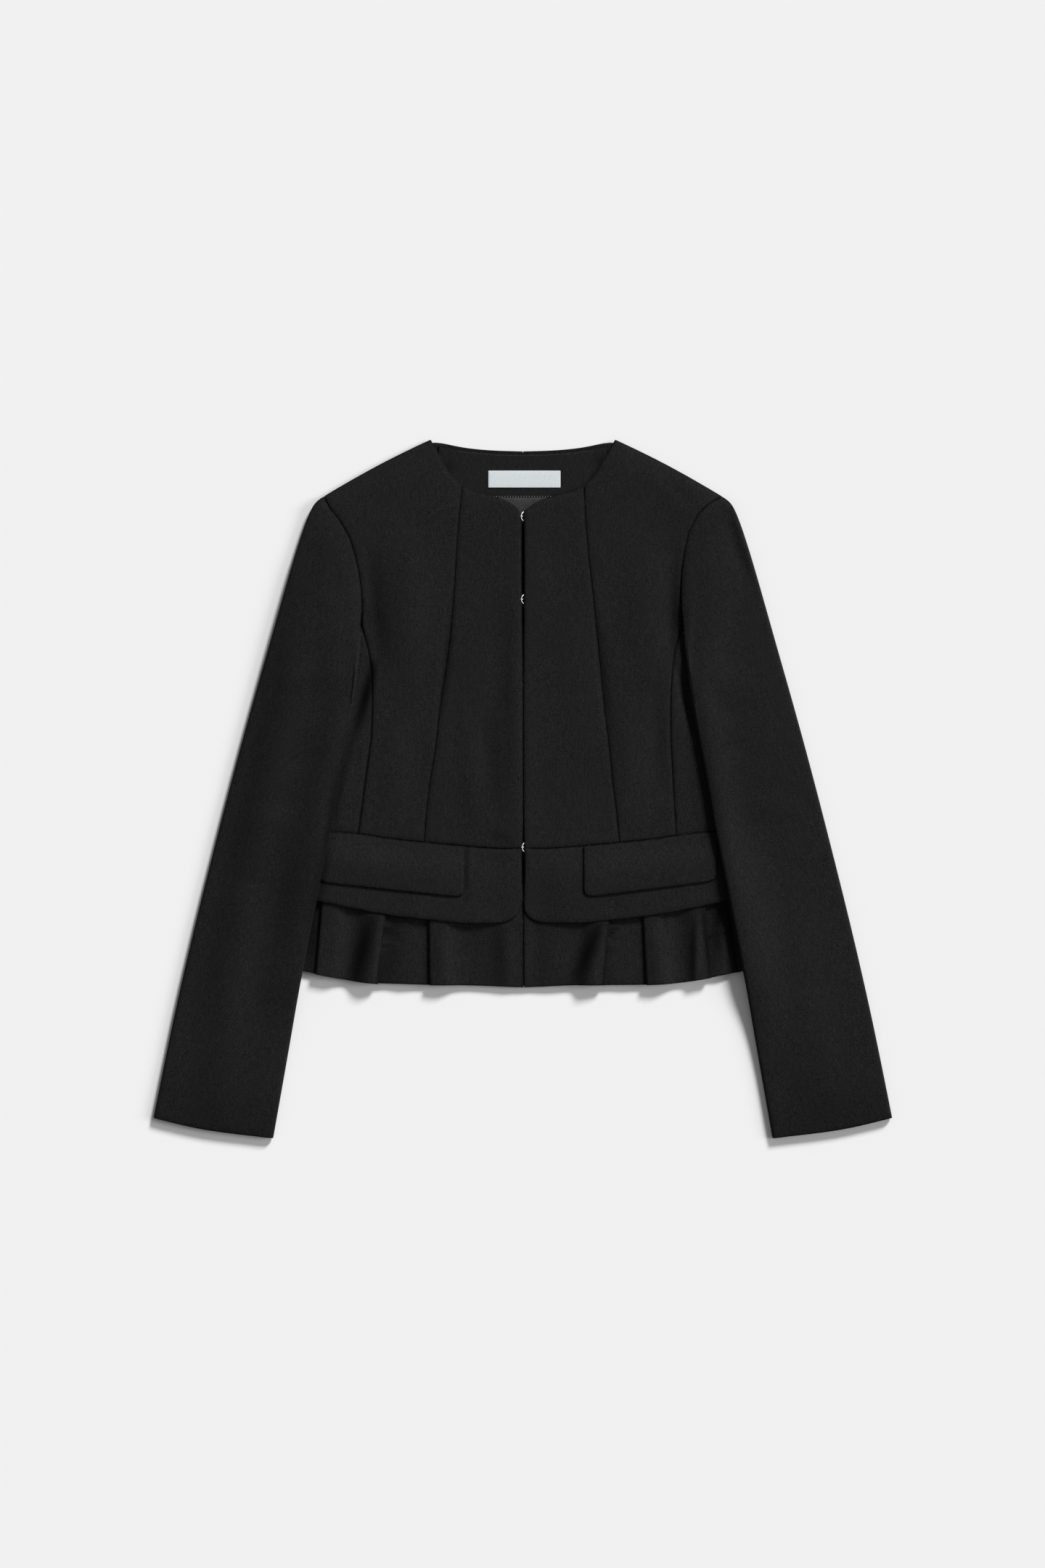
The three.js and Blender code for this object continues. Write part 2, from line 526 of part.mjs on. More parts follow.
// Sleeves: flattened tubes from the cuff to the armhole, lying over the body's sides
function sleeve(side, sign) {
  const seam = beside(armhole(side), -SEAM / 2);
  const hole = beside([ARMPIT, ...spaced(BACK_ARMHOLE, evenly(6))], -SEAM / 2);
  const under = (x, y) => reading(UNDER_SLEEVE, 'y', 'level', y) - dent(x, y);
  const overSide = (p) => Math.max(0, under(p.x, p.y) - SIDE_DROP);
  const nearTop = (share) => eased(CAP_START, 1, share);
  const cuffRise = (x, share) => (reading(CUFF, 'x', 'y', x) - CUFF[0].y)
    * Math.max(0, 1 - share / CUFF_SLANT);

  const innerFold = SLEEVE_SHARES.map((share) => {
    const y = lerp(CUFF[0].y, seam[0].y, share);
    const x = reading(SLEEVE_INNER, 'y', 'x', y);
    return { x: x + (seam[0].x - SLEEVE_INNER.at(-1).x) * nearTop(share), y };
  });
  const outerFold = SLEEVE_SHARES.map((share) => {
    const y = lerp(CUFF.at(-1).y, SHOULDER.at(-1).y, share);
    const end = seam.at(-1);
    return share === 1 ? end : { x: reading(SLEEVE_OUTER, 'y', 'x', y) + SEAM / 2, y };
  });
  // The under layer's first columns: over the body's side, and where it comes down to the surface
  const follow = (offset, top) => SLEEVE_SHARES.map((share, j) => {
    const rise = (top.y - seam[0].y) * nearTop(share);
    const x = sideEdge(innerFold[j].y + rise) + offset(innerFold[j].y);
    const y = innerFold[j].y + rise + cuffRise(x, share);
    return share === 1 ? top : { x: Math.max(x, top.x), y };
  });
  const crossing = follow(() => 0, hole[0]);
  const landing = follow((y) => lerp(RAMP, RAMP_AT_ARMPIT, eased(RAMP_NARROWS, ARMPIT.y, y))
    * (1 - eased(RAMP_ENDS, seam[0].y, y)), hole[1]);

  const cuff = (from, to, count) => evenly(count).map((share) => {
    const x = lerp(from, to, share);
    return { x, y: reading(CUFF, 'x', 'y', x) };
  });
  const upper = patch(innerFold, outerFold, cuff(CUFF[0].x, CUFF.at(-1).x, 8), seam);
  const lower = patch(landing, outerFold, cuff(landing[0].x, CUFF.at(-1).x, 6), hole.slice(1));

  const topHeight = (p) => {
    const fromUnderarm = Math.hypot(p.x - seam[0].x, p.y - seam[0].y);
    const flat = BODY_TOP + UNDERARM_LIFT * (1 - eased(0, UNDERARM_REACH, fromUnderarm));
    const atSeam = lerp(SHOULDER_TOP, flat, rounded(distanceTo(SHOULDER, p.x, p.y) / SHOULDER_ROLL));
    const edge = sideEdge(p.y);
    const lift = under(p.x, p.y) * (1 - eased(edge + UPPER_START, edge + UPPER_RAMP, p.x));
    return lerp(atSeam, lift + SLEEVE_HEIGHT, eased(0, CAP_REACH, distanceTo(seam, p.x, p.y)));
  };

  // One fold of the ring: from the upper layer's end round to the under layer's end
  const fold = (edge, above, below, low, share) => {
    const towards = (p) => new THREE.Vector2(p.x - edge.x, p.y - edge.y).normalize();
    const middle = towards(above).add(towards(below)).normalize();
    const along = { 1: towards(above), 0: middle, '-1': towards(below) };
    const reach = lerp(SLEEVE_FOLD, FOLD_AT_SEAM, eased(SEAM_FOLD_START, 1, share));
    const high = topHeight({ x: edge.x + along[1].x * reach, y: edge.y + along[1].y * reach });
    const half = (high - low) / 2;
    return [Math.PI / 2, FOLD_SLOPE, 0, -FOLD_SLOPE, -Math.PI / 2].map((angle) => {
      const into = along[Math.sign(angle)];
      return {
        x: edge.x + into.x * reach * (1 - Math.cos(angle)),
        y: edge.y + into.y * reach * (1 - Math.cos(angle)),
        z: low + half + half * Math.sin(angle),
        nx: -into.x * Math.cos(angle),
        ny: -into.y * Math.cos(angle),
        nz: Math.sin(angle),
      };
    });
  };

  const grid = SLEEVE_SHARES.map((share, j) => {
    const inside = { x: innerFold[j].x + SLEEVE_FOLD, y: innerFold[j].y };
    const innerTurn = fold(innerFold[j], inside, inside, under(inside.x, inside.y), share);
    const outerTurn = fold(outerFold[j], upper[j].at(-2), lower[j].at(-2), 0, share);
    const top = upper[j].slice(1, -1).map((p) => ({ ...p, z: topHeight(p) }));
    const over = { ...crossing[j], z: overSide(crossing[j]), nz: -1 };
    const floor = lower[j].slice(0, -1).map((p) => ({ ...p, z: 0, nz: -1 }));
    return [...top, ...outerTurn, ...floor.reverse(), over, ...innerTurn.reverse()];
  });
  addCloth(`sleeve_${side}`, grid, LINED, sign, { tube: true });
}

// Peplum: a smooth tier over a pleated ruffle, front halves and a back each
// The point that a line across (x from y) and a line up (y from x) share
function settle(across, up) {
  let y = up(0);
  for (let i = 0; i < 6; i += 1) y = up(across(y));
  return { x: across(y), y };
}

const tierHem = (side, x) => reading(TIER_HEM, 'x', side, x);
const plainHem = (x) => tierHem('left', Math.max(x, HEM_CORNER_END));

function tierHeight(x, depth) {
  const rise = eased(0, TIER_RISE, depth);
  const plain = lerp(TIER_SEAM_TOP, TIER_TOP, rise);
  const centre = lerp(CENTRE_TOP, TIER_CENTRE_TOP, rise);
  return lerp(centre, plain, eased(...TIER_CENTRE_BLEND, x));
}

function tier(side, sign) {
  const place = (share, depth) => {
    const rowY = (x) => (depth === undefined ? tierHem(side, x) : waistY(x) - depth);
    const across = (y) => lerp(frontEdge(sign, y), sideEdge(y) - TIER_ROLL, share);
    return settle(across, rowY);
  };
  const depths = [...TIER_DEPTHS, undefined];
  const grid = depths.map((depth) => {
    const flat = TIER_SHARES.map((share) => {
      const p = place(share, depth);
      return { ...p, z: tierHeight(p.x, depth ?? waistY(p.x) - p.y) };
    });
    const end = flat.at(-1);
    const height = end.z - TIER_END;
    const rolled = ROLL_ANGLES.map((angle) => {
      const normal = new THREE.Vector2(Math.cos(angle) / TIER_ROLL, Math.sin(angle) / height).normalize();
      const x = end.x + TIER_ROLL * Math.cos(angle);
      const drop = height * Math.sin(angle);
      return { x, y: end.y, z: TIER_END + drop, nx: normal.x, nz: Math.min(normal.y, drop / TIER_WALL) };
    });
    return [...flat, ...rolled];
  });
  addCloth(`tier_${side}`, grid, TIER_WALL, sign);
}

function tierBack() {
  const grid = [0, 0.2, 0.4, 0.6, 0.8, 1].map((down) => BACK_SHARES.map((share) => {
    const p = settle(
      (y) => Math.abs(share) * sideEdge(y),
      (x) => lerp(waistY(x) - WAIST_SEAM / 2, plainHem(x) + BACK_HEM_SHORTER, down),
    );
    return { x: p.x * Math.sign(share), y: p.y, z: TIER_BACK_TOP };
  }));
  addCloth('tier_back', grid, TIER_WALL, 1);
}

// Pocket flaps, caught in the waist seam and lying on the tier
function flap(side, sign) {
  const { inner, outer, innerDrop, outerDrop } = FLAPS[side];
  const corner = [0, 0.1, 0.35, 1].map((share) => share * FLAP_CORNER);
  const places = [
    ...corner.map((step) => inner + step),
    ...evenly(7).slice(1, -1).map((share) => lerp(inner + FLAP_CORNER, outer - FLAP_CORNER, share)),
    ...corner.map((step) => outer - step).reverse(),
  ];
  const bottom = (x) => {
    const end = Math.min(x - inner, outer - x, FLAP_CORNER);
    const lift = FLAP_CORNER * (1 - rounded(end / FLAP_CORNER));
    return lift - lerp(innerDrop, outerDrop, (x - inner) / (outer - inner));
  };
  const grid = [...FLAP_DEPTHS, undefined].map((depth) => places.map((x) => {
    const y = depth === undefined ? bottom(x) : waistY(x) - depth;
    return { x, y, z: tierHeight(x, waistY(x) - y) + SEAM + TIER_WALL };
  }));
  addCloth(`flap_${side}`, grid, TIER_WALL, sign);
}

// Ruffle: its cross-section walks out from the front edge, folding back at each pleat
const RUFFLE_SIDE = {
  name: 'side',
  top: sideEdge(RUFFLE_SIDE_TOP) - RUFFLE_INSET,
  hem: sideEdge(RUFFLE_SIDE_HEM) - RUFFLE_INSET,
};

function ruffleRowY(row, x) {
  const out = Math.abs(x);
  const { below, towards } = RUFFLE_ROWS[row];
  if (row === 0) return waistY(out) - RUFFLE_START;
  return lerp(plainHem(out) - below, reading(RUFFLE_HEM, 'x', 'y', out), towards);
}

// How far down a fold line a row lies, from 0 at the ruffle's top to 1 at its hem
function rowShare(row, line) {
  const top = ruffleRowY(0, line.top);
  return (ruffleRowY(row, line.top) - top) / (ruffleRowY(RUFFLE_ROWS.length - 1, line.hem) - top);
}

// The points of one fold: it bulges outwards or inwards, between two levels, going down or up
function turn(line, { offset, level, bulge, rising, outside, angles }) {
  const order = rising ? [...angles].reverse() : angles;
  return order.map((degrees) => {
    const angle = radians(degrees);
    const normal = { nx: outside * bulge * Math.cos(angle), nz: outside * Math.sin(angle) };
    return {
      line, ...normal, level: level + Math.sin(angle) / 2,
      offset: offset + bulge * TURN * Math.cos(angle),
    };
  });
}

// A pleat's fold next to the panel and the one hidden behind it, in the order that the cloth meets them
function pleat(line, leaving, upward, angles) {
  const hand = leaving ? 1 : -1;
  const near = { offset: -hand * FOLD_INSET, bulge: hand };
  const deep = { offset: -hand * line.depth, bulge: -hand };
  const rising = upward === leaving;
  const levels = upward ? [0.5, 1.5] : [1.5, 0.5];
  const out = upward ? -1 : 1;
  const folds = [
    turn(line, { ...near, level: levels[0], rising, outside: out, angles }),
    turn(line, { ...deep, level: levels[1], rising, outside: -out, angles }),
  ];
  return leaving ? folds.flat() : folds.reverse().flat();
}

const flatPoint = (line, offset, level) => ({ line, offset, level, nx: 0, nz: 1 });

function frontStations(side) {
  const edge = { name: 'edge', top: 0, hem: 0 };
  const stations = [0, 16, 34].map((offset) => flatPoint(edge, offset, 0));
  PLEATS[side].forEach((line, i) => {
    const leaving = i % 2 === 0;
    const hand = leaving ? -1 : 1;
    const sag = SAG.map(({ away, level }) => flatPoint(line, hand * (line.depth + away), level));
    const last = i === PLEATS[side].length - 1;
    if (leaving) stations.push(...sag.reverse(), ...pleat(line, true, false, FRONT_TURN));
    else stations.push(...pleat(line, false, false, FRONT_TURN), ...(last ? sag.slice(0, 1) : sag));
  });
  return stations;
}

function ruffleFront(side, sign) {
  const stations = frontStations(side);
  const grid = RUFFLE_ROWS.map((settled, row) => {
    const height = (level) => FRONT_BASE - RUFFLE_DROP * settled.front + LAYER * level
      + settled.flare * level / 2;
    const points = stations.map((p) => {
      const x = lerp(p.line.top, p.line.hem, rowShare(row, p.line)) + p.offset;
      const y = ruffleRowY(row, x);
      const start = p.line.name === 'edge' && p.offset === 0;
      return { x: start ? frontEdge(sign, y) : x, y, z: height(p.level), nx: p.nx, nz: p.nz };
    });
    const last = points.at(-1);
    const end = lerp(RUFFLE_SIDE.top, RUFFLE_SIDE.hem, rowShare(row, RUFFLE_SIDE));
    const floor = TIER_END + LAYER - RUFFLE_DROP * settled.back;
    const reach = Math.min(end - last.x, RUFFLE_ROLL);
    const rise = last.z - floor;
    const start = { x: end - reach, y: ruffleRowY(row, end - reach), z: last.z, nx: 0, nz: 1 };
    const roll = RUFFLE_ROLL_ANGLES.map((angle) => {
      const normal = new THREE.Vector2(Math.cos(angle) / reach, Math.sin(angle) / rise).normalize();
      const x = end - reach + reach * Math.cos(angle);
      return { x, y: ruffleRowY(row, x), z: floor + rise * Math.sin(angle), nx: normal.x, nz: normal.y };
    });
    return [...points.slice(0, -1), start, ...roll];
  });
  const face = grid.map((points) => points.map((p) => ({
    ...p, x: p.x + RUFFLE_WALL / 2 * p.nx, z: p.z + RUFFLE_WALL / 2 * p.nz,
  })));
  addCloth(`ruffle_${side}`, face, RUFFLE_WALL, sign);
}

function ruffleBack() {
  const middle = flatPoint({ top: 0, hem: 0 }, 0, 0);
  const half = PLEATS.back.flatMap((line, i) => pleat(line, i % 2 === 0, true, BACK_TURN));
  half.push(flatPoint(RUFFLE_SIDE, 0, 0));
  const mirrored = [...half].reverse().map((p) => ({ ...p, mirror: true }));
  const grid = RUFFLE_ROWS.map((settled, row) => [...mirrored, middle, ...half].map((p) => {
    const hand = p.mirror ? -1 : 1;
    const x = (lerp(p.line.top, p.line.hem, rowShare(row, p.line)) + p.offset) * hand;
    const nx = p.nx * hand;
    const z = BACK_BASE - RUFFLE_DROP * settled.back + LAYER * p.level;
    const y = ruffleRowY(row, x) + (row === RUFFLE_ROWS.length - 1 ? BACK_HEM_SHORTER : 0);
    return { x: x + RUFFLE_WALL / 2 * nx, y, z: z + RUFFLE_WALL / 2 * p.nz, nx, nz: p.nz };
  }));
  addCloth('ruffle_back', grid, RUFFLE_WALL, 1);
}

// Inside the back neck: a facing of the same cloth, the lining below it, and a bare label
const mirrorLine = (line) => line.map((p) => ({ ...p, x: -p.x }));
const rectangle = (x, y, width, height, across, up) => evenly(up).map((v) => evenly(across).map((u) => (
  { x: x + (u - 0.5) * width, y: y + (v - 0.5) * height }
)));
const lifted = (grid, z) => grid.map((row) => row.map((p) => ({ ...p, z })));

function neckTrim() {
  const top = [...mirrorLine(FACING_TOP).reverse(), ...FACING_TOP.slice(1)];
  const bottom = evenly(top.length - 1).map((share) => (
    { x: lerp(-FACING_SIDE[0].x, FACING_SIDE[0].x, share), y: FACING_BOTTOM }
  ));
  const facing = patch(mirrorLine(FACING_SIDE), FACING_SIDE, bottom, top);
  const onBack = LINED + SEAM + TRIM_WALL;
  addCloth('neck_facing', lifted(facing, onBack), TRIM_WALL, 1);
  const liningTop = FACING_BOTTOM - SEAM;
  const liningMiddle = (liningTop + LINING_BOTTOM) / 2;
  const lining = rectangle(0, liningMiddle, LINING_WIDTH, liningTop - LINING_BOTTOM, 6, 3);
  addCloth('lining', lifted(lining, onBack), TRIM_WALL, 1, { finish: LINING });
  const label = rectangle(LABEL_SIZE.x, LABEL_SIZE.y, LABEL_SIZE.width, LABEL_SIZE.height, 6, 2);
  addCloth('label', lifted(label, onBack + SEAM + TRIM_WALL), TRIM_WALL, 1, { finish: LABEL });
}

// Hooks under the wearer's right front, and the wire eyes that they hold under the left front
function addWire(name, path, y) {
  const section = new THREE.Shape(evenly(WIRE_SIDES).slice(1).map((share) => {
    const angle = 2 * Math.PI * share;
    return new THREE.Vector2(Math.cos(angle), Math.sin(angle)).multiplyScalar(WIRE_RADIUS);
  }));
  const lean = FRONT_LEAN * (FRONT_MIDDLE - y);
  const route = new THREE.CatmullRomCurve3(path.map((p) => new THREE.Vector3(p.x + lean, p.y + y, p.z)));
  add(name, new THREE.ExtrudeGeometry(section, { steps: WIRE_STEPS, extrudePath: route }), WIRE);
}

SIDES.forEach(({ side, sign }) => {
  back(side, sign);
  sidePanel(side, sign);
  frontSide(side, sign);
  frontCentre(side, sign);
  sleeve(side, sign);
  tier(side, sign);
  ruffleFront(side, sign);
  flap(side, sign);
});
tierBack();
ruffleBack();
neckTrim();
HOOK_HEIGHTS.forEach((y, i) => {
  addWire(`hook_${i + 1}`, HOOK_PATH, y);
  addWire(`eye_${i + 1}`, EYE_PATH, y);
});

export default jacket;
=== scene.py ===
import math

import bpy
import numpy as np
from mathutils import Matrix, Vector


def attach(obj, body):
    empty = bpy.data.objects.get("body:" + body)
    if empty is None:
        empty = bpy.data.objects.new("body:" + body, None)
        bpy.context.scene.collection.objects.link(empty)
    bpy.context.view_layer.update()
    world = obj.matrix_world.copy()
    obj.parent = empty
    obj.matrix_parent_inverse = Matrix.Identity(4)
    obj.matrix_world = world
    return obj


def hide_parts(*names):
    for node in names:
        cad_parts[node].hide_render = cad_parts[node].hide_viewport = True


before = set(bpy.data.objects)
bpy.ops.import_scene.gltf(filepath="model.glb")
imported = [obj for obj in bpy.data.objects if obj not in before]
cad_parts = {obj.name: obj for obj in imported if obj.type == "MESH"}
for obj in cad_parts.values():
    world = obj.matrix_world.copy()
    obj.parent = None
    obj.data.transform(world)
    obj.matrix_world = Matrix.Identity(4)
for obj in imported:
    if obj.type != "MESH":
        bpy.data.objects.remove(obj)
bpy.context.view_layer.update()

# All sizes are in metres. +X is the wearer's left, +Y the neck, +Z up from the surface.
MM = 0.001
SIDES = (("left", 1), ("right", -1))

# The camera looks straight down on the jacket
PHOTO_HEIGHT = 1.512
CAMERA_X = -0.00035
CAMERA_Y = 0.00455
CAMERA_HEIGHT = 4.0

# Rounding of a wall's edges, and how the cloth dips and closes along them
EDGE_ROUND = 0.8 * MM
THIN_EDGE_ROUND = 0.3 * MM
EDGE_ANGLE = math.radians(50)
SEAM_WIDTH = 5 * MM
SEAM_DIP = 0.6 * MM
SEAM_CLOSE = 0.15 * MM


# Helpers for objects

def deselect():
    bpy.ops.object.select_all(action="DESELECT")


def choose(piece):
    deselect()
    piece.select_set(True)
    bpy.context.view_layer.objects.active = piece


def edit(piece):
    choose(piece)
    bpy.ops.object.mode_set(mode="EDIT")
    bpy.ops.mesh.select_all(action="SELECT")


def leave_edit():
    bpy.ops.object.mode_set(mode="OBJECT")


def apply_modifier(piece, name, kind, **settings):
    modifier = piece.modifiers.new(name, kind)
    for key, value in settings.items():
        setattr(modifier, key, value)
    choose(piece)
    bpy.ops.object.modifier_apply(modifier=modifier.name)


def points_of(piece):
    points = np.empty(len(piece.data.vertices) * 3)
    piece.data.vertices.foreach_get("co", points)
    return points.reshape(-1, 3)


def place_points(piece, points):
    piece.data.vertices.foreach_set("co", points.ravel())
    piece.data.update()


# Helpers for materials

def new_material(name):
    material = bpy.data.materials.new(name)
    material.use_nodes = True
    shader = material.node_tree.nodes["Principled BSDF"]
    return material, shader


def add_node(material, kind, **values):
    node = material.node_tree.nodes.new(kind)
    for key, value in values.items():
        setattr(node, key, value)
    return node


def join(material, output, socket):
    material.node_tree.links.new(output, socket)


def object_place(material, turn=0.0):
    """Object coordinates, turned about Z so that the grain follows the piece."""
    place = add_node(material, "ShaderNodeTexCoord")
    mapping = add_node(material, "ShaderNodeMapping")
    mapping.inputs["Rotation"].default_value = (0, 0, turn)
    join(material, place.outputs["Object"], mapping.inputs["Vector"])
    return mapping.outputs["Vector"]


def noise(material, place, scale, detail=2.0, roughness=0.5):
    node = add_node(material, "ShaderNodeTexNoise")
    node.inputs["Scale"].default_value = scale
    node.inputs["Detail"].default_value = detail
    node.inputs["Roughness"].default_value = roughness
    join(material, place, node.inputs["Vector"])
    return node.outputs["Fac"]


def ramp(material, value, low, high, start=0.3, end=0.7):
    """A colour ramp from one colour to another."""
    node = add_node(material, "ShaderNodeValToRGB")
    node.color_ramp.elements[0].position = start
    node.color_ramp.elements[0].color = (*low, 1)
    node.color_ramp.elements[1].position = end
    node.color_ramp.elements[1].color = (*high, 1)
    join(material, value, node.inputs["Fac"])
    return node.outputs["Color"]


def spread(material, value, low, high):
    """The same value brought into the range from low to high."""
    node = add_node(material, "ShaderNodeMapRange")
    node.inputs["To Min"].default_value = low
    node.inputs["To Max"].default_value = high
    join(material, value, node.inputs["Value"])
    return node.outputs["Result"]


def multiply(material, first, second):
    """Two colours multiplied; a colour mix takes them at sockets 6 and 7."""
    node = add_node(material, "ShaderNodeMix", data_type="RGBA", blend_type="MULTIPLY")
    node.inputs[0].default_value = 1.0
    join(material, first, node.inputs[6])
    join(material, second, node.inputs[7])
    return node.outputs[2]


def add_bump(material, shader, heights):
    """Bumps laid one over the other; heights are (value, strength, distance)."""
    last = None
    for value, strength, distance in heights:
        bump = add_node(material, "ShaderNodeBump")
        bump.inputs["Strength"].default_value = strength
        bump.inputs["Distance"].default_value = distance
        join(material, value, bump.inputs["Height"])
        if last is not None:
            join(material, last, bump.inputs["Normal"])
        last = bump.outputs["Normal"]
    join(material, last, shader.inputs["Normal"])


# Materials

TWILL_SPACING = 1.1 * MM
PAINTED_SHADE_ATTRIBUTE = "painted_shade_mask"
SEAM_SHADE = 1.5 * MM   # how far the painted shade of a seam or edge reaches into the cloth
WAVE_PERIOD = 0.314   # a band texture of scale 1 repeats after this length


def wool(name, turn=0.0):
    """Black wool twill: mixed dark and lighter fibres, fine diagonal ribs, and painted shade at seams, edges
    and creases.
    """
    material, shader = new_material(name)
    place = object_place(material, turn)
    flecks = noise(material, place, 1250, detail=2, roughness=0.6)
    fibres = noise(material, place, 2600, detail=2)
    patches = noise(material, place, 14, detail=3)
    long_yarns = add_node(material, "ShaderNodeMapping")
    long_yarns.inputs["Scale"].default_value = (1, 0.16, 1)
    join(material, place, long_yarns.inputs["Vector"])
    streaks = noise(material, long_yarns.outputs["Vector"], 900, detail=2)
    colour = ramp(material, flecks, (0.0044, 0.0044, 0.0045), (0.0205, 0.0205, 0.0208), 0.34, 0.66)
    yarns = ramp(material, streaks, (0.8, 0.8, 0.8), (1.12, 1.12, 1.12), 0.35, 0.65)
    worn = ramp(material, patches, (0.9, 0.9, 0.9), (1, 1, 1), 0.3, 0.7)
    colour = multiply(material, colour, yarns)
    colour = multiply(material, colour, worn)
    # Painted shade: the colour is darkened near seams and edges and along the shaded folds, where shade falls.
    painted_shade_mask = add_node(material, "ShaderNodeAttribute", attribute_name=PAINTED_SHADE_ATTRIBUTE)
    painted_shade_darkening = ramp(material, painted_shade_mask.outputs["Fac"], (0.1, 0.1, 0.1), (1, 1, 1), 0.0, 1.0)
    colour = multiply(material, colour, painted_shade_darkening)
    join(material, colour, shader.inputs["Base Color"])
    join(material, spread(material, flecks, 0.82, 0.97), shader.inputs["Roughness"])
    ribs = add_node(material, "ShaderNodeTexWave", wave_type="BANDS", bands_direction="DIAGONAL")
    ribs.inputs["Scale"].default_value = WAVE_PERIOD / TWILL_SPACING
    ribs.inputs["Distortion"].default_value = 1.2
    ribs.inputs["Detail"].default_value = 1.0
    join(material, place, ribs.inputs["Vector"])
    add_bump(material, shader, [
        (patches, 0.25, 1.2 * MM),
        (ribs.outputs["Fac"], 0.35, 0.16 * MM),
        (fibres, 0.5, 0.2 * MM),
    ])
    shader.inputs["Specular IOR Level"].default_value = 0.07
    shader.inputs["Sheen Weight"].default_value = 0.018
    shader.inputs["Sheen Roughness"].default_value = 0.4
    shader.inputs["Sheen Tint"].default_value = (0.8, 0.8, 0.81, 1)
    return material


def satin_lining():
    """Dark grey lining satin with a fine up-and-down yarn."""
    material, shader = new_material("satin_lining")
    place = object_place(material)
    yarn = add_node(material, "ShaderNodeTexWave", wave_type="BANDS", bands_direction="X")
    yarn.inputs["Scale"].default_value = WAVE_PERIOD / (0.5 * MM)
    yarn.inputs["Distortion"].default_value = 0.6
    join(material, place, yarn.inputs["Vector"])
    slubs = noise(material, place, 420, detail=2)
    colour = ramp(material, slubs, (0.017, 0.0175, 0.0185), (0.028, 0.0285, 0.0295))
    join(material, colour, shader.inputs["Base Color"])
    join(material, spread(material, slubs, 0.34, 0.5), shader.inputs["Roughness"])
    add_bump(material, shader, [(yarn.outputs["Fac"], 0.25, 0.08 * MM), (slubs, 0.2, 0.1 * MM)])
    shader.inputs["Sheen Weight"].default_value = 0.1
    return material


def label_satin():
    """The pale woven satin of the bare label."""
    material, shader = new_material("label_satin")
    place = object_place(material)
    yarn = add_node(material, "ShaderNodeTexWave", wave_type="BANDS", bands_direction="Y")
    yarn.inputs["Scale"].default_value = WAVE_PERIOD / (0.35 * MM)
    yarn.inputs["Distortion"].default_value = 0.4
    join(material, place, yarn.inputs["Vector"])
    threads = noise(material, place, 900, detail=2)
    colour = ramp(material, threads, (0.57, 0.62, 0.64), (0.68, 0.73, 0.75))
    join(material, colour, shader.inputs["Base Color"])
    join(material, spread(material, threads, 0.4, 0.58), shader.inputs["Roughness"])
    add_bump(material, shader, [(yarn.outputs["Fac"], 0.3, 0.06 * MM), (threads, 0.2, 0.06 * MM)])
    shader.inputs["Sheen Weight"].default_value = 0.12
    return material


def thread(name, colour):
    """Sewing thread with a fine twist."""
    material, shader = new_material(name)
    place = object_place(material)
    twist = noise(material, place, 3500, detail=1)
    low = tuple(0.8 * c for c in colour)
    join(material, ramp(material, twist, low, colour), shader.inputs["Base Color"])
    shader.inputs["Roughness"].default_value = 0.6
    add_bump(material, shader, [(twist, 0.3, 0.05 * MM)])
    return material


def silver_wire():
    """Polished wire with fine drawing marks."""
    material, shader = new_material("silver_wire")
    place = object_place(material)
    marks = noise(material, place, 1800, detail=2)
    colour = ramp(material, marks, (0.8, 0.81, 0.83), (0.9, 0.91, 0.93))
    join(material, colour, shader.inputs["Base Color"])
    join(material, spread(material, marks, 0.42, 0.55), shader.inputs["Roughness"])
    shader.inputs["Metallic"].default_value = 1.0
    add_bump(material, shader, [(marks, 0.1, 0.03 * MM)])
    return material


# Soft folds and unevenness of the cloth

FOLD_POINTS = 17
FOLD_FADE = 0.8
WAVE_LENGTHS = (0.16, 0.11, 0.075, 0.05, 0.034)
WAVE_TOTAL = 0.43   # about the sum of the wave lengths
RIM_STEP = 1.5 * MM
RIM_CHUNK = 200   # edge points compared at a time
FAR = 1.0
MERGE_GAP = 0.005 * MM
QUAD_FACE_ANGLE = math.radians(40)
QUAD_SHAPE_ANGLE = math.radians(60)


def fold_shape(points, start, bend, end, width, lean):
    """How strongly each point takes part in a soft fold along a bent line, fading out at both ends."""
    share = np.linspace(0, 1, FOLD_POINTS)[:, None]
    a, b, c = np.array(start), np.array(bend), np.array(end)
    line = (1 - share) ** 2 * a + 2 * share * (1 - share) * b + share ** 2 * c
    ways = np.diff(line, axis=0)
    away = points[:, None, :2] - line[None, :-1]
    part = np.clip((away * ways).sum(axis=2) / (ways ** 2).sum(axis=1), 0, 1)
    away -= part[..., None] * ways
    distance = np.hypot(away[..., 0], away[..., 1])
    nearest = distance.argmin(axis=1)
    rows = np.arange(len(points))
    along = (nearest + part[rows, nearest]) / len(ways)
    way = ways[nearest]
    side = np.sign(way[:, 0] * away[rows, nearest, 1] - way[:, 1] * away[rows, nearest, 0])
    reach = width * (1 + lean * side)
    fade = np.sin(np.pi * np.clip(along, 0, 1)) ** FOLD_FADE
    return np.exp(-(distance[rows, nearest] / reach) ** 2) * fade


def unevenness(points, height, seed):
    """A few slow waves, so that no stretch of cloth is quite flat."""
    rng = np.random.default_rng(seed)
    total = np.zeros(len(points))
    for length in WAVE_LENGTHS:
        angle = rng.uniform(0, np.pi)
        phase = rng.uniform(0, 2 * np.pi)
        along = points[:, 0] * np.cos(angle) + points[:, 1] * np.sin(angle)
        total += np.sin(2 * np.pi * along / length + phase) * length
    return height * total / WAVE_TOTAL


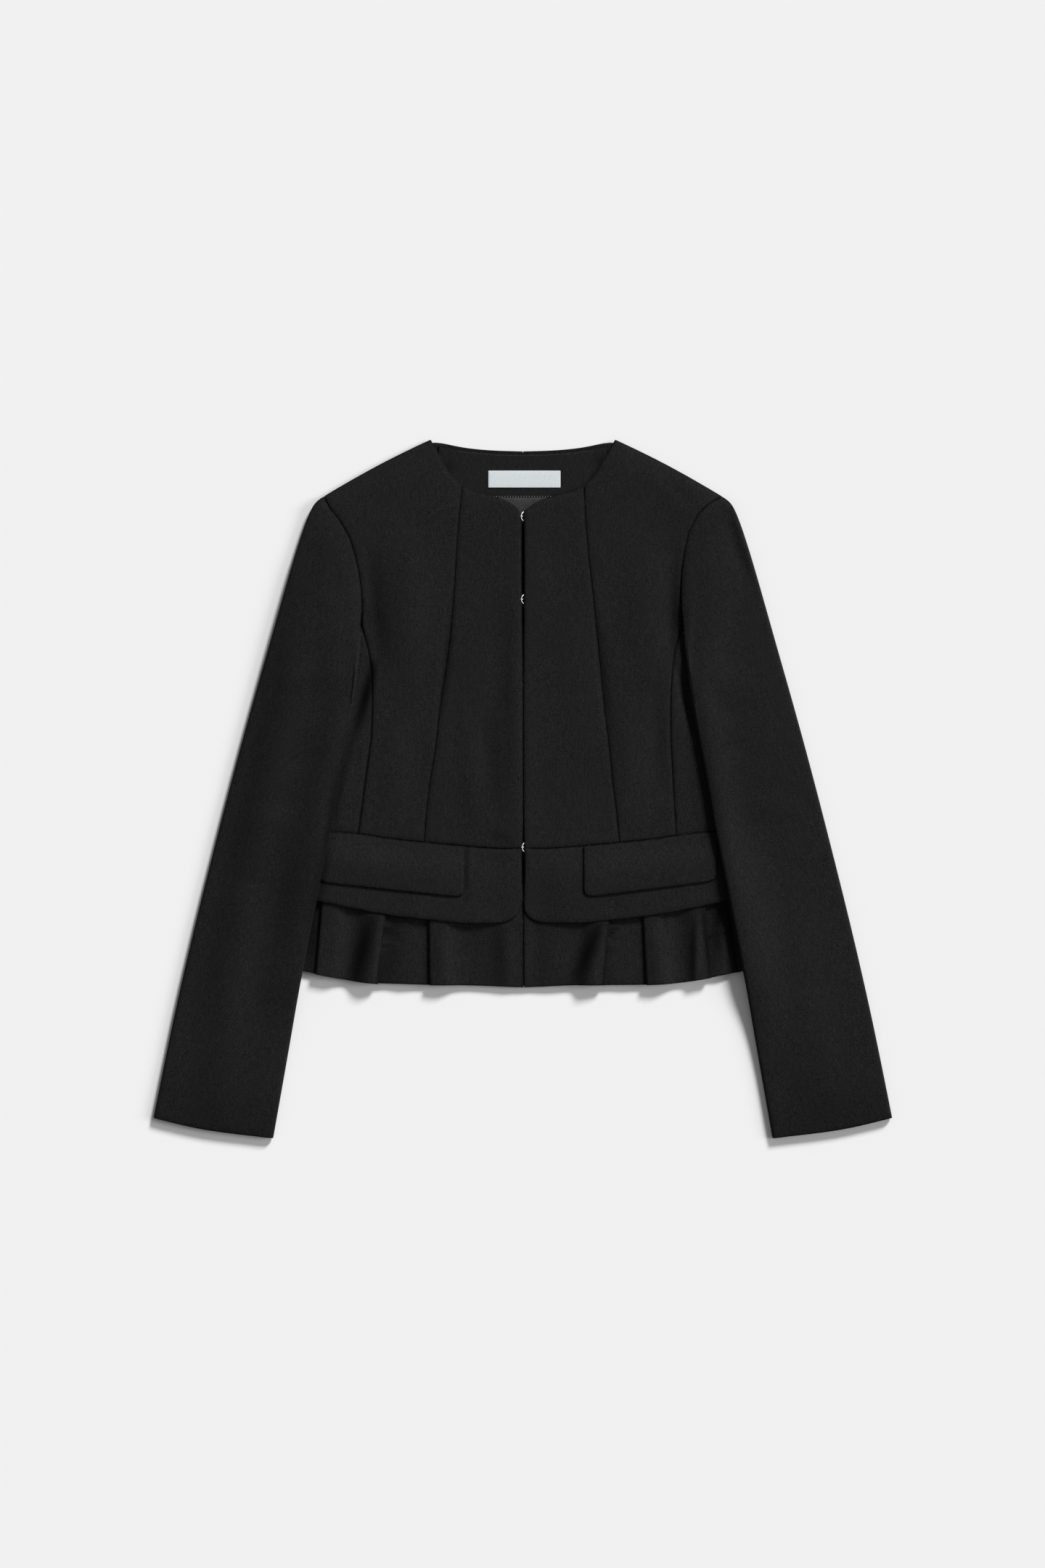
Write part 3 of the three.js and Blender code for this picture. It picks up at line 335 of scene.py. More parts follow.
def rim_points(piece):
    """Points along the sharp edges of a wall, where it is cut or sewn."""
    mesh = piece.data
    corners = points_of(piece)
    faces = {}
    for polygon in mesh.polygons:
        for key in polygon.edge_keys:
            faces.setdefault(key, []).append(polygon.normal)
    rim = []
    for (a, b), normals in faces.items():
        if len(normals) == 2 and normals[0].angle(normals[1], 0) > EDGE_ANGLE:
            steps = max(2, int(np.linalg.norm(corners[a] - corners[b]) / RIM_STEP))
            rim.extend(corners[a] + (corners[b] - corners[a]) * s for s in np.linspace(0, 1, steps))
    return np.array(rim)


def rim_distance(points, rim):
    """How far each point is from the nearest cut or sewn edge."""
    distance = np.full(len(points), FAR)
    for chunk in np.array_split(rim, max(1, len(rim) // RIM_CHUNK)):
        away = points[:, None] - chunk[None]
        distance = np.minimum(distance, np.sqrt((away ** 2).sum(axis=2)).min(axis=1))
    return distance


def soft_wall(node, levels, edge=EDGE_ROUND):
    """A CAD wall copied, its loose triangles merged, its edges rounded and its faces refined."""
    deselect()
    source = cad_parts[node]
    piece = source.copy()
    piece.data = source.data.copy()
    piece.name = node + "_cloth"
    bpy.context.collection.objects.link(piece)
    edit(piece)
    bpy.ops.mesh.remove_doubles(threshold=MERGE_GAP)
    bpy.ops.mesh.tris_convert_to_quads(face_threshold=QUAD_FACE_ANGLE, shape_threshold=QUAD_SHAPE_ANGLE)
    leave_edit()
    rim = rim_points(piece)
    apply_modifier(piece, "rounded edge", "BEVEL", width=edge, segments=2, limit_method="ANGLE",
                   angle_limit=EDGE_ANGLE)
    apply_modifier(piece, "soft cloth", "SUBSURF", levels=levels, render_levels=levels)
    bpy.ops.object.shade_smooth()
    return piece, rim


def finish_cloth(piece, node, material):
    piece.data.materials.clear()
    piece.data.materials.append(material)
    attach(piece, "root")
    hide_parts(node)


# Cloth pieces of the jacket. Each fold is a soft trough (depth below zero) or ridge, in millimetres,
# from one end past a bend to the other end. Shade is painted shade: how much darker the cloth's colour is
# painted along the fold, from 0 to 1. Lean makes one flank of the fold wider than the other.

SLEEVE_FOLDS = {
    "left": [
        {"from": (188, 268), "bend": (240, 40), "to": (296, -345), "width": 28, "depth": 0.6},
        {"from": (385, -310), "bend": (297, -322), "to": (210, -335), "width": 48, "shade": 0.28},
        {"from": (194, 116), "bend": (212, 10), "to": (240, -150), "width": 15, "shade": 0.3},
        {"from": (163, 118), "bend": (176, 20), "to": (206, -120), "width": 5, "shade": 0.4},
        {"from": (199, 276), "bend": (214, 240), "to": (227, 192), "width": 3.2, "depth": 1.5, "lean": -0.3},
        {"from": (196, 262), "bend": (205, 228), "to": (214, 196), "width": 5, "depth": -0.8},
        {"from": (162, 238), "bend": (158, 186), "to": (162, 128), "width": 8, "depth": 1.5},
        {"from": (176, 96), "bend": (190, 78), "to": (214, 66), "width": 7, "depth": -1},
        {"from": (181, 112), "bend": (202, 100), "to": (232, 102), "width": 9, "depth": 0.8},
        {"from": (190, 44), "bend": (214, 30), "to": (246, 30), "width": 9, "depth": -0.7},
        {"from": (212, -8), "bend": (238, 4), "to": (262, -2), "width": 10, "depth": -0.7},
        {"from": (214, -24), "bend": (240, -12), "to": (274, -22), "width": 9, "depth": 0.7},
        {"from": (236, -78), "bend": (262, -70), "to": (292, -82), "width": 11, "depth": -0.6},
        {"from": (254, -110), "bend": (276, -190), "to": (296, -320), "width": 20, "depth": 1.4},
        {"from": (188, 150), "bend": (200, 186), "to": (196, 224), "width": 12, "depth": 0.8},
        {"from": (270, -190), "bend": (294, -200), "to": (322, -196), "width": 9, "depth": -0.5},
    ],
    "right": [
        {"from": (-150, 112), "bend": (-170, 40), "to": (-192, -76), "width": 6, "depth": -1.4, "lean": -0.4},
        {"from": (-186, 270), "bend": (-236, 40), "to": (-294, -345), "width": 27, "depth": 2.2},
        {"from": (-385, -310), "bend": (-297, -322), "to": (-210, -335), "width": 48, "shade": 0.3},
        {"from": (-146, 126), "bend": (-169, 42), "to": (-188, -72), "width": 6.5, "shade": 0.85},
        {"from": (-174, 30), "bend": (-187, -62), "to": (-214, -204), "width": 6, "shade": 0.75},
        {"from": (-196, 256), "bend": (-266, 0), "to": (-312, -240), "width": 16, "shade": 0.35},
        {"from": (-170, 104), "bend": (-184, 78), "to": (-208, 62), "width": 8, "depth": -1.2},
        {"from": (-178, 118), "bend": (-204, 104), "to": (-236, 110), "width": 10, "depth": 0.8},
        {"from": (-188, 36), "bend": (-210, 22), "to": (-240, 26), "width": 9, "depth": -0.7},
        {"from": (-206, -16), "bend": (-232, -6), "to": (-266, -14), "width": 10, "depth": -0.6},
        {"from": (-212, -40), "bend": (-240, -28), "to": (-268, -34), "width": 10, "depth": 0.7},
        {"from": (-238, -96), "bend": (-262, -84), "to": (-294, -92), "width": 10, "depth": -0.6},
        {"from": (-262, -90), "bend": (-284, -190), "to": (-297, -330), "width": 19, "depth": 2.2},
        {"from": (-208, 226), "bend": (-226, 160), "to": (-240, 70), "width": 16, "depth": 1.5},
        {"from": (-164, 240), "bend": (-162, 190), "to": (-166, 130), "width": 8, "depth": 1},
        {"from": (-182, 176), "bend": (-186, 206), "to": (-180, 240), "width": 8, "depth": -0.8},
    ],
}
FRONT_FOLDS = {
    "left": [
        {"from": (147, 222), "bend": (144, 165), "to": (147, 112), "width": 6, "shade": 0.45},
        {"from": (104, 308), "bend": (134, 285), "to": (164, 258), "width": 8, "shade": 0.2},
        {"from": (68, 180), "bend": (76, 110), "to": (86, 30), "width": 3, "shade": 0.4},
        {"from": (150, 122), "bend": (157, 86), "to": (168, 48), "width": 4.5, "depth": -4},
        {"from": (147, 240), "bend": (142, 180), "to": (147, 122), "width": 8, "depth": -2},
        {"from": (120, 250), "bend": (112, 180), "to": (120, 100), "width": 16, "depth": 1.4},
        {"from": (126, 302), "bend": (150, 288), "to": (170, 266), "width": 9, "depth": -1.1},
        {"from": (70, 170), "bend": (77, 110), "to": (85, 36), "width": 4.5, "depth": -1.3},
        {"from": (98, 96), "bend": (104, 20), "to": (100, -40), "width": 13, "depth": 1.4},
        {"from": (127, 104), "bend": (130, 48), "to": (127, -10), "width": 8, "depth": -1.1},
        {"from": (22, 250), "bend": (31, 226), "to": (26, 200), "width": 9, "depth": -0.6},
        {"from": (44, 190), "bend": (52, 110), "to": (58, 20), "width": 17, "depth": 0.9},
        {"from": (14, 60), "bend": (20, 10), "to": (18, -44), "width": 9, "depth": -0.5},
    ],
    "right": [
        {"from": (-145, 126), "bend": (-152, 88), "to": (-167, 44), "width": 5.5, "shade": 0.85},
        {"from": (-158, 66), "bend": (-177, 12), "to": (-185, -62), "width": 3, "shade": 0.6},
        {"from": (-138, 232), "bend": (-136, 175), "to": (-132, 108), "width": 12, "shade": 0.22},
        {"from": (-22, 120), "bend": (-30, 40), "to": (-32, -56), "width": 9, "shade": 0.2},
        {"from": (-67, 196), "bend": (-75, 116), "to": (-82, 56), "width": 3, "shade": 0.4},
        {"from": (-31, -38), "bend": (-25, -50), "to": (-17, -58), "width": 4, "shade": 0.4},
        {"from": (-146, 124), "bend": (-152, 88), "to": (-166, 50), "width": 4.5, "depth": -5},
        {"from": (-150, 236), "bend": (-144, 180), "to": (-139, 112), "width": 8, "depth": -1.6},
        {"from": (-112, 250), "bend": (-106, 160), "to": (-112, 70), "width": 17, "depth": 2},
        {"from": (-124, 302), "bend": (-146, 290), "to": (-168, 270), "width": 9, "depth": -0.6},
        {"from": (-68, 188), "bend": (-75, 116), "to": (-81, 60), "width": 4.5, "depth": -1.1},
        {"from": (-96, 60), "bend": (-100, 10), "to": (-97, -40), "width": 11, "depth": -0.9},
        {"from": (-120, 80), "bend": (-126, 20), "to": (-128, -40), "width": 12, "depth": 1.1},
        {"from": (-30, 190), "bend": (-20, 110), "to": (-24, 40), "width": 11, "depth": -0.9},
        {"from": (-52, 70), "bend": (-50, 10), "to": (-44, -44), "width": 10, "depth": 1.3},
        {"from": (-33, 62), "bend": (-30, 10), "to": (-26, -40), "width": 8, "depth": -1.1},
        {"from": (-27, -42), "bend": (-20, -50), "to": (-12, -56), "width": 5, "depth": -1.3},
        {"from": (-8, 220), "bend": (-8, 100), "to": (-8, -40), "width": 7, "depth": 0.9},
    ],
}
RUFFLE_FOLDS = {
    "left": [
        {"from": (84, -106), "bend": (68, -152), "to": (40, -198), "width": 7, "shade": 0.78},
        {"from": (88, -106), "bend": (83, -155), "to": (77, -200), "width": 3, "shade": 1},
        {"from": (171, -100), "bend": (177, -150), "to": (183, -196), "width": 2.6, "shade": 0.9},
        {"from": (164, -104), "bend": (164, -150), "to": (162, -196), "width": 3.5, "shade": 0.4},
        {"from": (190, -98), "bend": (189, -132), "to": (183, -170), "width": 4, "shade": 0.7},
        {"from": (194, -98), "bend": (199, -132), "to": (206, -172), "width": 2.2, "shade": 0.9},
        {"from": (78, -126), "bend": (74, -156), "to": (58, -200), "width": 9, "depth": 4.6, "lean": 0.1},
        {"from": (12, -120), "bend": (14, -155), "to": (10, -200), "width": 6, "depth": -1.2},
        {"from": (135, -112), "bend": (136, -126), "to": (133, -144), "width": 4, "depth": -1.6},
        {"from": (168, -119), "bend": (168, -150), "to": (166, -196), "width": 4.2, "depth": 1.9},
        {"from": (191.5, -115), "bend": (192, -140), "to": (193, -186), "width": 5, "depth": 3.5},
        {"from": (199, -104), "bend": (203, -140), "to": (208, -184), "width": 4, "depth": -0.8},
        {"from": (124, -128), "bend": (128, -160), "to": (134, -200), "width": 8, "depth": 1.4},
        {"from": (98, -125), "bend": (99, -158), "to": (101, -200), "width": 8, "depth": 1.1},
        {"from": (40, -128), "bend": (34, -160), "to": (30, -200), "width": 12, "depth": 1.1},
    ],
    "right": [
        {"from": (-140, -104), "bend": (-151, -150), "to": (-167, -198), "width": 8, "shade": 0.82},
        {"from": (-127, -106), "bend": (-133, -155), "to": (-140, -200), "width": 3, "shade": 1},
        {"from": (-119, -104), "bend": (-122.5, -148), "to": (-130, -198), "width": 4, "shade": 0.5},
        {"from": (-24, -108), "bend": (-23, -158), "to": (-25, -198), "width": 7, "shade": 0.35},
        {"from": (-200, -102), "bend": (-204, -145), "to": (-210, -188), "width": 5, "shade": 0.7},
        {"from": (-137, -119), "bend": (-141, -154), "to": (-150, -200), "width": 9, "depth": 5, "lean": -0.4},
        {"from": (-113, -124), "bend": (-114, -154), "to": (-118, -200), "width": 6, "depth": 2.4},
        {"from": (-14, -129), "bend": (-13, -158), "to": (-15, -200), "width": 8, "depth": 1.7, "lean": -0.3},
        {"from": (-173, -116), "bend": (-176, -150), "to": (-180, -196), "width": 8, "depth": 1.2},
        {"from": (-200, -104), "bend": (-203, -145), "to": (-208, -186), "width": 7, "depth": -0.8},
        {"from": (-80, -127), "bend": (-78, -158), "to": (-76, -200), "width": 7, "depth": 1.4},
        {"from": (-52, -126), "bend": (-50, -160), "to": (-48, -200), "width": 10, "depth": -0.9},
    ],
}
TIER_FOLDS = {
    "left": [
        {"from": (30, -62), "bend": (34, -96), "to": (30, -128), "width": 12, "depth": 0.5},
        {"from": (84, -100), "bend": (88, -114), "to": (96, -128), "width": 9, "depth": -0.6},
        {"from": (150, -84), "bend": (156, -100), "to": (158, -118), "width": 9, "depth": 0.5},
        {"from": (196, -44), "bend": (200, -80), "to": (206, -118), "width": 6, "depth": -0.3},
    ],
    "right": [
        {"from": (-53.5, -46), "bend": (-53.5, -80), "to": (-54.5, -112), "width": 1.6, "shade": 0.8},
        {"from": (-183, -36), "bend": (-192, -82), "to": (-202, -134), "width": 4, "shade": 0.6},
        {"from": (-46, -62), "bend": (-40, -96), "to": (-44, -128), "width": 12, "depth": -0.7},
        {"from": (-14, -70), "bend": (-12, -96), "to": (-16, -124), "width": 9, "depth": 0.7},
        {"from": (-96, -100), "bend": (-102, -112), "to": (-104, -126), "width": 9, "depth": 0.6},
        {"from": (-150, -84), "bend": (-152, -100), "to": (-162, -118), "width": 9, "depth": -0.5},
        {"from": (-196, -44), "bend": (-200, -80), "to": (-206, -118), "width": 7, "depth": -0.3},
    ],
}
FLAP_FOLDS = {
    "left": [{"from": (60, -92), "bend": (110, -80), "to": (190, -70), "width": 15, "depth": 0.8}],
    "right": [{"from": (-56, -92), "bend": (-120, -82), "to": (-196, -70), "width": 15, "depth": 0.8}],
}
BACK_FOLDS = {
    "left": [{"from": (20, 120), "bend": (60, 150), "to": (120, 160), "width": 16, "depth": -0.3}],
    "right": [{"from": (-20, 110), "bend": (-70, 140), "to": (-130, 150), "width": 16, "depth": -0.3}],
}
HIDDEN_RUFFLE_FOLDS = [
    {"from": (-150, -122), "bend": (-154, -154), "to": (-162, -186), "width": 6, "depth": -0.7},
    {"from": (-40, -130), "bend": (-44, -158), "to": (-40, -194), "width": 7, "depth": -0.6},
    {"from": (52, -130), "bend": (56, -158), "to": (50, -194), "width": 7, "depth": -0.7},
    {"from": (148, -124), "bend": (152, -154), "to": (160, -188), "width": 6, "depth": -0.6},
]

# Painted shade at the facing's ends, where the fronts' neck edges shade them.
NECK_FOLDS = [
    {"from": (66, 322), "bend": (80, 314), "to": (90, 298), "width": 7, "shade": 0.5},
    {"from": (-64, 318), "bend": (-76, 308), "to": (-86, 294), "width": 7, "shade": 0.5},
]

WAVE_HEIGHT = 0.22 * MM
HIGHEST_FOLD = 4.5 * MM
# Seeds of the slow waves; a piece of one side adds that side's sign
SEEDS = {"body": 10, "sleeve": 40, "peplum": 50, "tier_back": 80, "ruffle_back": 81, "neck": 90}


def fold_cloth(piece, rim, folds, seed, seam_dip=SEAM_DIP, keep_under=False):
    """Folds and slow waves in the cloth, a dip along each sewn edge, sewn edges brought together, and painted
    shade near the edges and along the folds.
    """
    points = points_of(piece)
    normals = np.empty(len(points) * 3)
    piece.data.vertex_normals.foreach_get("vector", normals)
    normals = normals.reshape(-1, 3)
    sideways = np.clip(1 - np.abs(normals[:, 2:]), 0, 1)
    points[:, :2] += SEAM_CLOSE * sideways * normals[:, :2]
    upper = np.clip(0.5 + normals[:, 2], 0, 1)
    low, high = points[:, 2].min(), points[:, 2].max()
    change = unevenness(points, WAVE_HEIGHT, seed)
    painted_fold_shade = np.ones(len(points))
    for fold in folds:
        start, bend, end = (tuple(v * MM for v in fold[key]) for key in ("from", "bend", "to"))
        shape = fold_shape(points, start, bend, end, fold["width"] * MM, fold.get("lean", 0))
        change += fold.get("depth", 0) * MM * shape
        # Painted shade: the colour darkens along the fold by its shade value.
        painted_fold_shade *= 1 - fold.get("shade", 0) * shape
    if keep_under:
        change *= upper
    distance = rim_distance(points, rim)
    change -= seam_dip * upper * np.clip(1 - distance / SEAM_WIDTH, 0, 1) ** 2
    # Painted shade near cut and sewn edges, times the painted shade of the folds, read by the wool's colour.
    shade = piece.data.attributes.new(PAINTED_SHADE_ATTRIBUTE, "FLOAT", "POINT")
    shade.data.foreach_set("value", np.clip(distance / SEAM_SHADE, 0, 1) * painted_fold_shade)
    points[:, 2] = np.clip(points[:, 2] + change, max(low, 0), high + HIGHEST_FOLD)
    place_points(piece, points)


def add_body(side, sign, wools):
    """The back, underarm, side front and centre front of one side."""
    cuts = (
        # part, flat width, flat length, flat area, folds, rests on
        ("back", 0.198, 0.394, 0.0672, BACK_FOLDS[side], ["floor"]),
        ("side", 0.056, 0.200, 0.0066, FRONT_FOLDS[side], [f"back_{side}"]),
        ("front_side", 0.136, 0.390, 0.0292, FRONT_FOLDS[side], [f"back_{side}"]),
        ("front_centre", 0.096, 0.350, 0.0255, FRONT_FOLDS[side], [f"back_{side}"]),
    )
    for part, width, length, area, folds, under in cuts:
        node = f"{part}_{side}"
        piece, rim = soft_wall(node, levels=3 if part.startswith("front") else 2)
        fold_cloth(piece, rim, folds, seed=SEEDS["body"] + sign, keep_under=part == "back")
        finish_cloth(piece, node, wools["body"])


def add_sleeve(side, sign, wools):
    node = f"sleeve_{side}"
    piece, rim = soft_wall(node, levels=3)
    fold_cloth(piece, rim, SLEEVE_FOLDS[side], seed=SEEDS["sleeve"] + sign, keep_under=True)
    finish_cloth(piece, node, wools[node])


def add_peplum(side, sign, wools):
    """The smooth upper tier, its pleated ruffle and the flap of one side."""
    seed = SEEDS["peplum"] + sign
    node = f"tier_{side}"
    piece, rim = soft_wall(node, levels=3)
    fold_cloth(piece, rim, TIER_FOLDS[side], seed)
    finish_cloth(piece, node, wools["body"])
    node = f"ruffle_{side}"
    piece, rim = soft_wall(node, levels=2, edge=THIN_EDGE_ROUND)
    fold_cloth(piece, rim, RUFFLE_FOLDS[side], seed, seam_dip=0)
    finish_cloth(piece, node, wools["body"])
    node = f"flap_{side}"
    piece, rim = soft_wall(node, levels=2)
    fold_cloth(piece, rim, TIER_FOLDS[side] + FLAP_FOLDS[side], seed, seam_dip=0.4 * MM)
    finish_cloth(piece, node, wools["body"])


def add_peplum_back(wools):
    node = "tier_back"
    piece, rim = soft_wall(node, levels=2)
    fold_cloth(piece, rim, [], SEEDS["tier_back"], keep_under=True)
    finish_cloth(piece, node, wools["body"])
    node = "ruffle_back"
    piece, rim = soft_wall(node, levels=1, edge=THIN_EDGE_ROUND)
    fold_cloth(piece, rim, HIDDEN_RUFFLE_FOLDS, SEEDS["ruffle_back"], seam_dip=0, keep_under=True)
    finish_cloth(piece, node, wools["body"])


def add_neck(wools, lining, label):
    """The facing, the bit of lining below it and the label, inside the back neck."""
    backs = ["back_left", "back_right"]
    trims = (
        # node, material, slot, flat width, flat length, flat area, rests on, seam dip
        ("neck_facing", wools["body"], "cloth", 0.166, 0.051, 0.0070, backs, 0.3 * MM),
        ("lining", lining, "lining", 0.092, 0.025, 0.0023, backs, 0.3 * MM),
        ("label", label, "label", 0.0693, 0.0161, 0.00111, ["neck_facing"], 0.1 * MM),
    )
    for row, (node, material, slot, width, length, area, under, dip) in enumerate(trims):
        piece, rim = soft_wall(node, levels=3, edge=THIN_EDGE_ROUND)
        folds = NECK_FOLDS if node == "neck_facing" else []
        fold_cloth(piece, rim, folds, SEEDS["neck"] + row, seam_dip=dip)
        finish_cloth(piece, node, material)


# Hooks, eyes and stitches

# Height of each hook and eye, and whether the fronts part there so that the eye shows. The wire's
# paths are in millimetres from the closure at that height.
FASTENINGS = (
    {"height": 262.2, "open": True},
    {"height": 182.4, "open": True},
    {"height": 102.6, "open": False},
    {"height": 23.5, "open": False},
    {"height": -56.4, "open": True},
)
CLOSURE_LEAN = 0.003
CLOSURE_MIDDLE = 100
WIRE_RADIUS = 0.4 * MM
CLOSED_EYE = ((4, 4, 5.5), (1.4, 3.9, 5.3), (-0.4, 2.9, 4.7), (-1.4, 0, 4.65),
              (-0.4, -2.9, 4.7), (1.4, -3.9, 5.3), (4, -4, 5.5))
OPEN_EYE = ((4.4, 4, 5.6), (2.3, 4.3, 5.7), (0.6, 4.1, 6.5), (-0.7, 2.6, 7.2), (-1.2, 0, 7.3),
            (-0.7, -2.6, 7.2), (0.6, -4.1, 6.5), (2.3, -4.3, 5.7), (4.4, -4, 5.6))
CLOSED_HOOK = ((-6, 0, 5.3), (-4.2, 0, 4.5), (-2.2, 0, 3.8), (0, 0, 3.75),
               (1.1, 0, 4.65), (0, 0, 5.5), (-2.2, 0, 5.5))
OPEN_HOOK = ((-6, 0, 5.4), (-3.2, 0, 5.6), (-1.6, 0, 6.2), (-0.4, 0, 6.4),
             (0.3, 0, 7.1), (-0.5, 0, 7.9), (-2.0, 0, 7.6))
EYE_RINGS = ((4.9, 4.9), (4.9, -4.9))
HOOK_RINGS = ((-7.0, 1.1), (-7.0, -1.1))
SEWING_RING = 1.3
RING_HEIGHT = 5.4
WIRE_SIDES = 3


def wire(name, paths, closed):
    """Round wire along each path, smoothed and made a mesh; closed paths are rings."""
    curve = bpy.data.curves.new(name, "CURVE")
    curve.dimensions = "3D"
    curve.bevel_depth = WIRE_RADIUS
    curve.bevel_resolution = WIRE_SIDES
    curve.resolution_u = 8
    curve.use_fill_caps = True
    for index, path in enumerate(paths):
        line = curve.splines.new("NURBS")
        line.points.add(len(path) - 1)
        for point, place in zip(line.points, path):
            point.co = (*place, 1)
        line.order_u = 3
        line.use_endpoint_u = index not in closed
        line.use_cyclic_u = index in closed
    piece = bpy.data.objects.new(name, curve)
    bpy.context.collection.objects.link(piece)
    choose(piece)
    bpy.ops.object.convert(target="MESH")
    bpy.ops.object.shade_smooth()
    return bpy.context.view_layer.objects.active


def ring_path(x, y, z, radius):
    return [(x + radius * math.cos(a), y + radius * math.sin(a), z)
            for a in np.linspace(0, 2 * math.pi, 12, endpoint=False)]


STITCH_RADIUS = 0.28 * MM
STITCH_SINK = 0.1 * MM
FACING_HEM = 281.6 * MM
# Each row across the facing: first place, end and spacing in millimetres
HEM_ROW = (-33, 34, 2.6)
UNDERSTITCH_ROW = (-63, 64, 2.1)
HEM_STITCH = 1.3 * MM
NECK_STITCH = 1.5 * MM
UNDERSTITCH_DROP = 3 * MM
LABEL_END = 1.2 * MM
LABEL_CORNER = 2 * MM
LABEL_STITCHES = 6
GREY = (0.3, 0.3, 0.3)
BLACK = (0.022, 0.022, 0.023)
PALE = (0.6, 0.64, 0.66)


def height_at(piece, x, y):
    """Height of the cloth's upper face near a place."""
    points = points_of(piece)
    gap = np.hypot(points[:, 0] - x, points[:, 1] - y)
    near = points[gap < max(1.5 * MM, gap.min() + 0.1 * MM)]
    return near[:, 2].max()


def stitch_row(name, places, length, material, cloth, node):
    """One stitch shaped from a small ball, then copied along the row and joined."""
    deselect()
    bpy.ops.mesh.primitive_uv_sphere_add(segments=8, ring_count=5, radius=STITCH_RADIUS)
    first = bpy.context.active_object
    first.name = name
    edit(first)
    bpy.ops.transform.resize(value=(length / (2 * STITCH_RADIUS), 1, 1))
    leave_edit()
    ways = [(after[0] - here[0], after[1] - here[1]) for here, after in zip(places, places[1:])]
    ways.append(ways[-1])
    stitches = []
    for here, way in zip(places, ways):
        stitch = first.copy()
        stitch.data = first.data.copy()
        bpy.context.collection.objects.link(stitch)
        stitch.location = (*here, height_at(cloth, *here) - STITCH_SINK)
        stitch.rotation_euler = (0, 0, math.atan2(way[1], way[0]))
        stitches.append(stitch)
    deselect()
    for stitch in stitches:
        stitch.select_set(True)
    bpy.context.view_layer.objects.active = stitches[0]
    bpy.ops.object.join()
    bpy.ops.object.transform_apply(location=True, rotation=True, scale=True)
    bpy.ops.object.shade_smooth()
    row = bpy.context.view_layer.objects.active
    bpy.data.objects.remove(first)
    row.name = name
    row.data.materials.append(material)
    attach(row, "root")
    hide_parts(node)


def neck_edge(piece, x):
    """The facing's upper edge at one place across the neck."""
    points = points_of(piece)
    return points[np.abs(points[:, 0] - x) < 2.5 * MM, 1].max()


def add_sewing():
    """Stitches at the facing's hem, understitching below the neck edge and stitches at the label's ends."""
    facing = bpy.data.objects["neck_facing_cloth"]
    label = bpy.data.objects["label_cloth"]
    hem = [(x * MM, FACING_HEM) for x in np.arange(*HEM_ROW)]
    grey = thread("grey_thread", GREY)
    stitch_row("facing_hem_stitches", hem, HEM_STITCH, grey, facing, "neck_facing")
    under = [(x * MM, neck_edge(facing, x * MM) - UNDERSTITCH_DROP) for x in np.arange(*UNDERSTITCH_ROW)]
    black = thread("black_thread", BLACK)
    stitch_row("understitching", under, NECK_STITCH, black, facing, "neck_facing")
    points = points_of(label)
    west, south = points[:, :2].min(axis=0)
    east, north = points[:, :2].max(axis=0)
    pale = thread("pale_thread", PALE)
    for name, x in (("label_stitches_right", west + LABEL_END), ("label_stitches_left", east - LABEL_END)):
        end = [(x, y) for y in np.linspace(south + LABEL_CORNER, north - LABEL_CORNER, LABEL_STITCHES)]
        stitch_row(name, end, NECK_STITCH, pale, label, "label")


def add_hooks(material):
    """Five hooks under the right front, each through an eye that shows at the edge of the left front."""
    for number, row in enumerate(FASTENINGS, start=1):
        height = row["height"]
        middle = CLOSURE_LEAN * (CLOSURE_MIDDLE - height)
        place = np.array([middle, height, 0])
        for kind, path, rings in (
            ("eye", OPEN_EYE if row["open"] else CLOSED_EYE, EYE_RINGS),
            ("hook", OPEN_HOOK if row["open"] else CLOSED_HOOK, HOOK_RINGS),
        ):
            paths = [path] + [ring_path(x, y, RING_HEIGHT, SEWING_RING) for x, y in rings]
            paths = [[tuple((np.array(p) + place) * MM) for p in line] for line in paths]
            node = f"{kind}_{number}"
            piece = wire(node + "_wire", paths, closed=(1, 2))
            piece.data.materials.clear()
            piece.data.materials.append(material)
            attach(piece, "root")
            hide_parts(node)


# Floor, light and camera

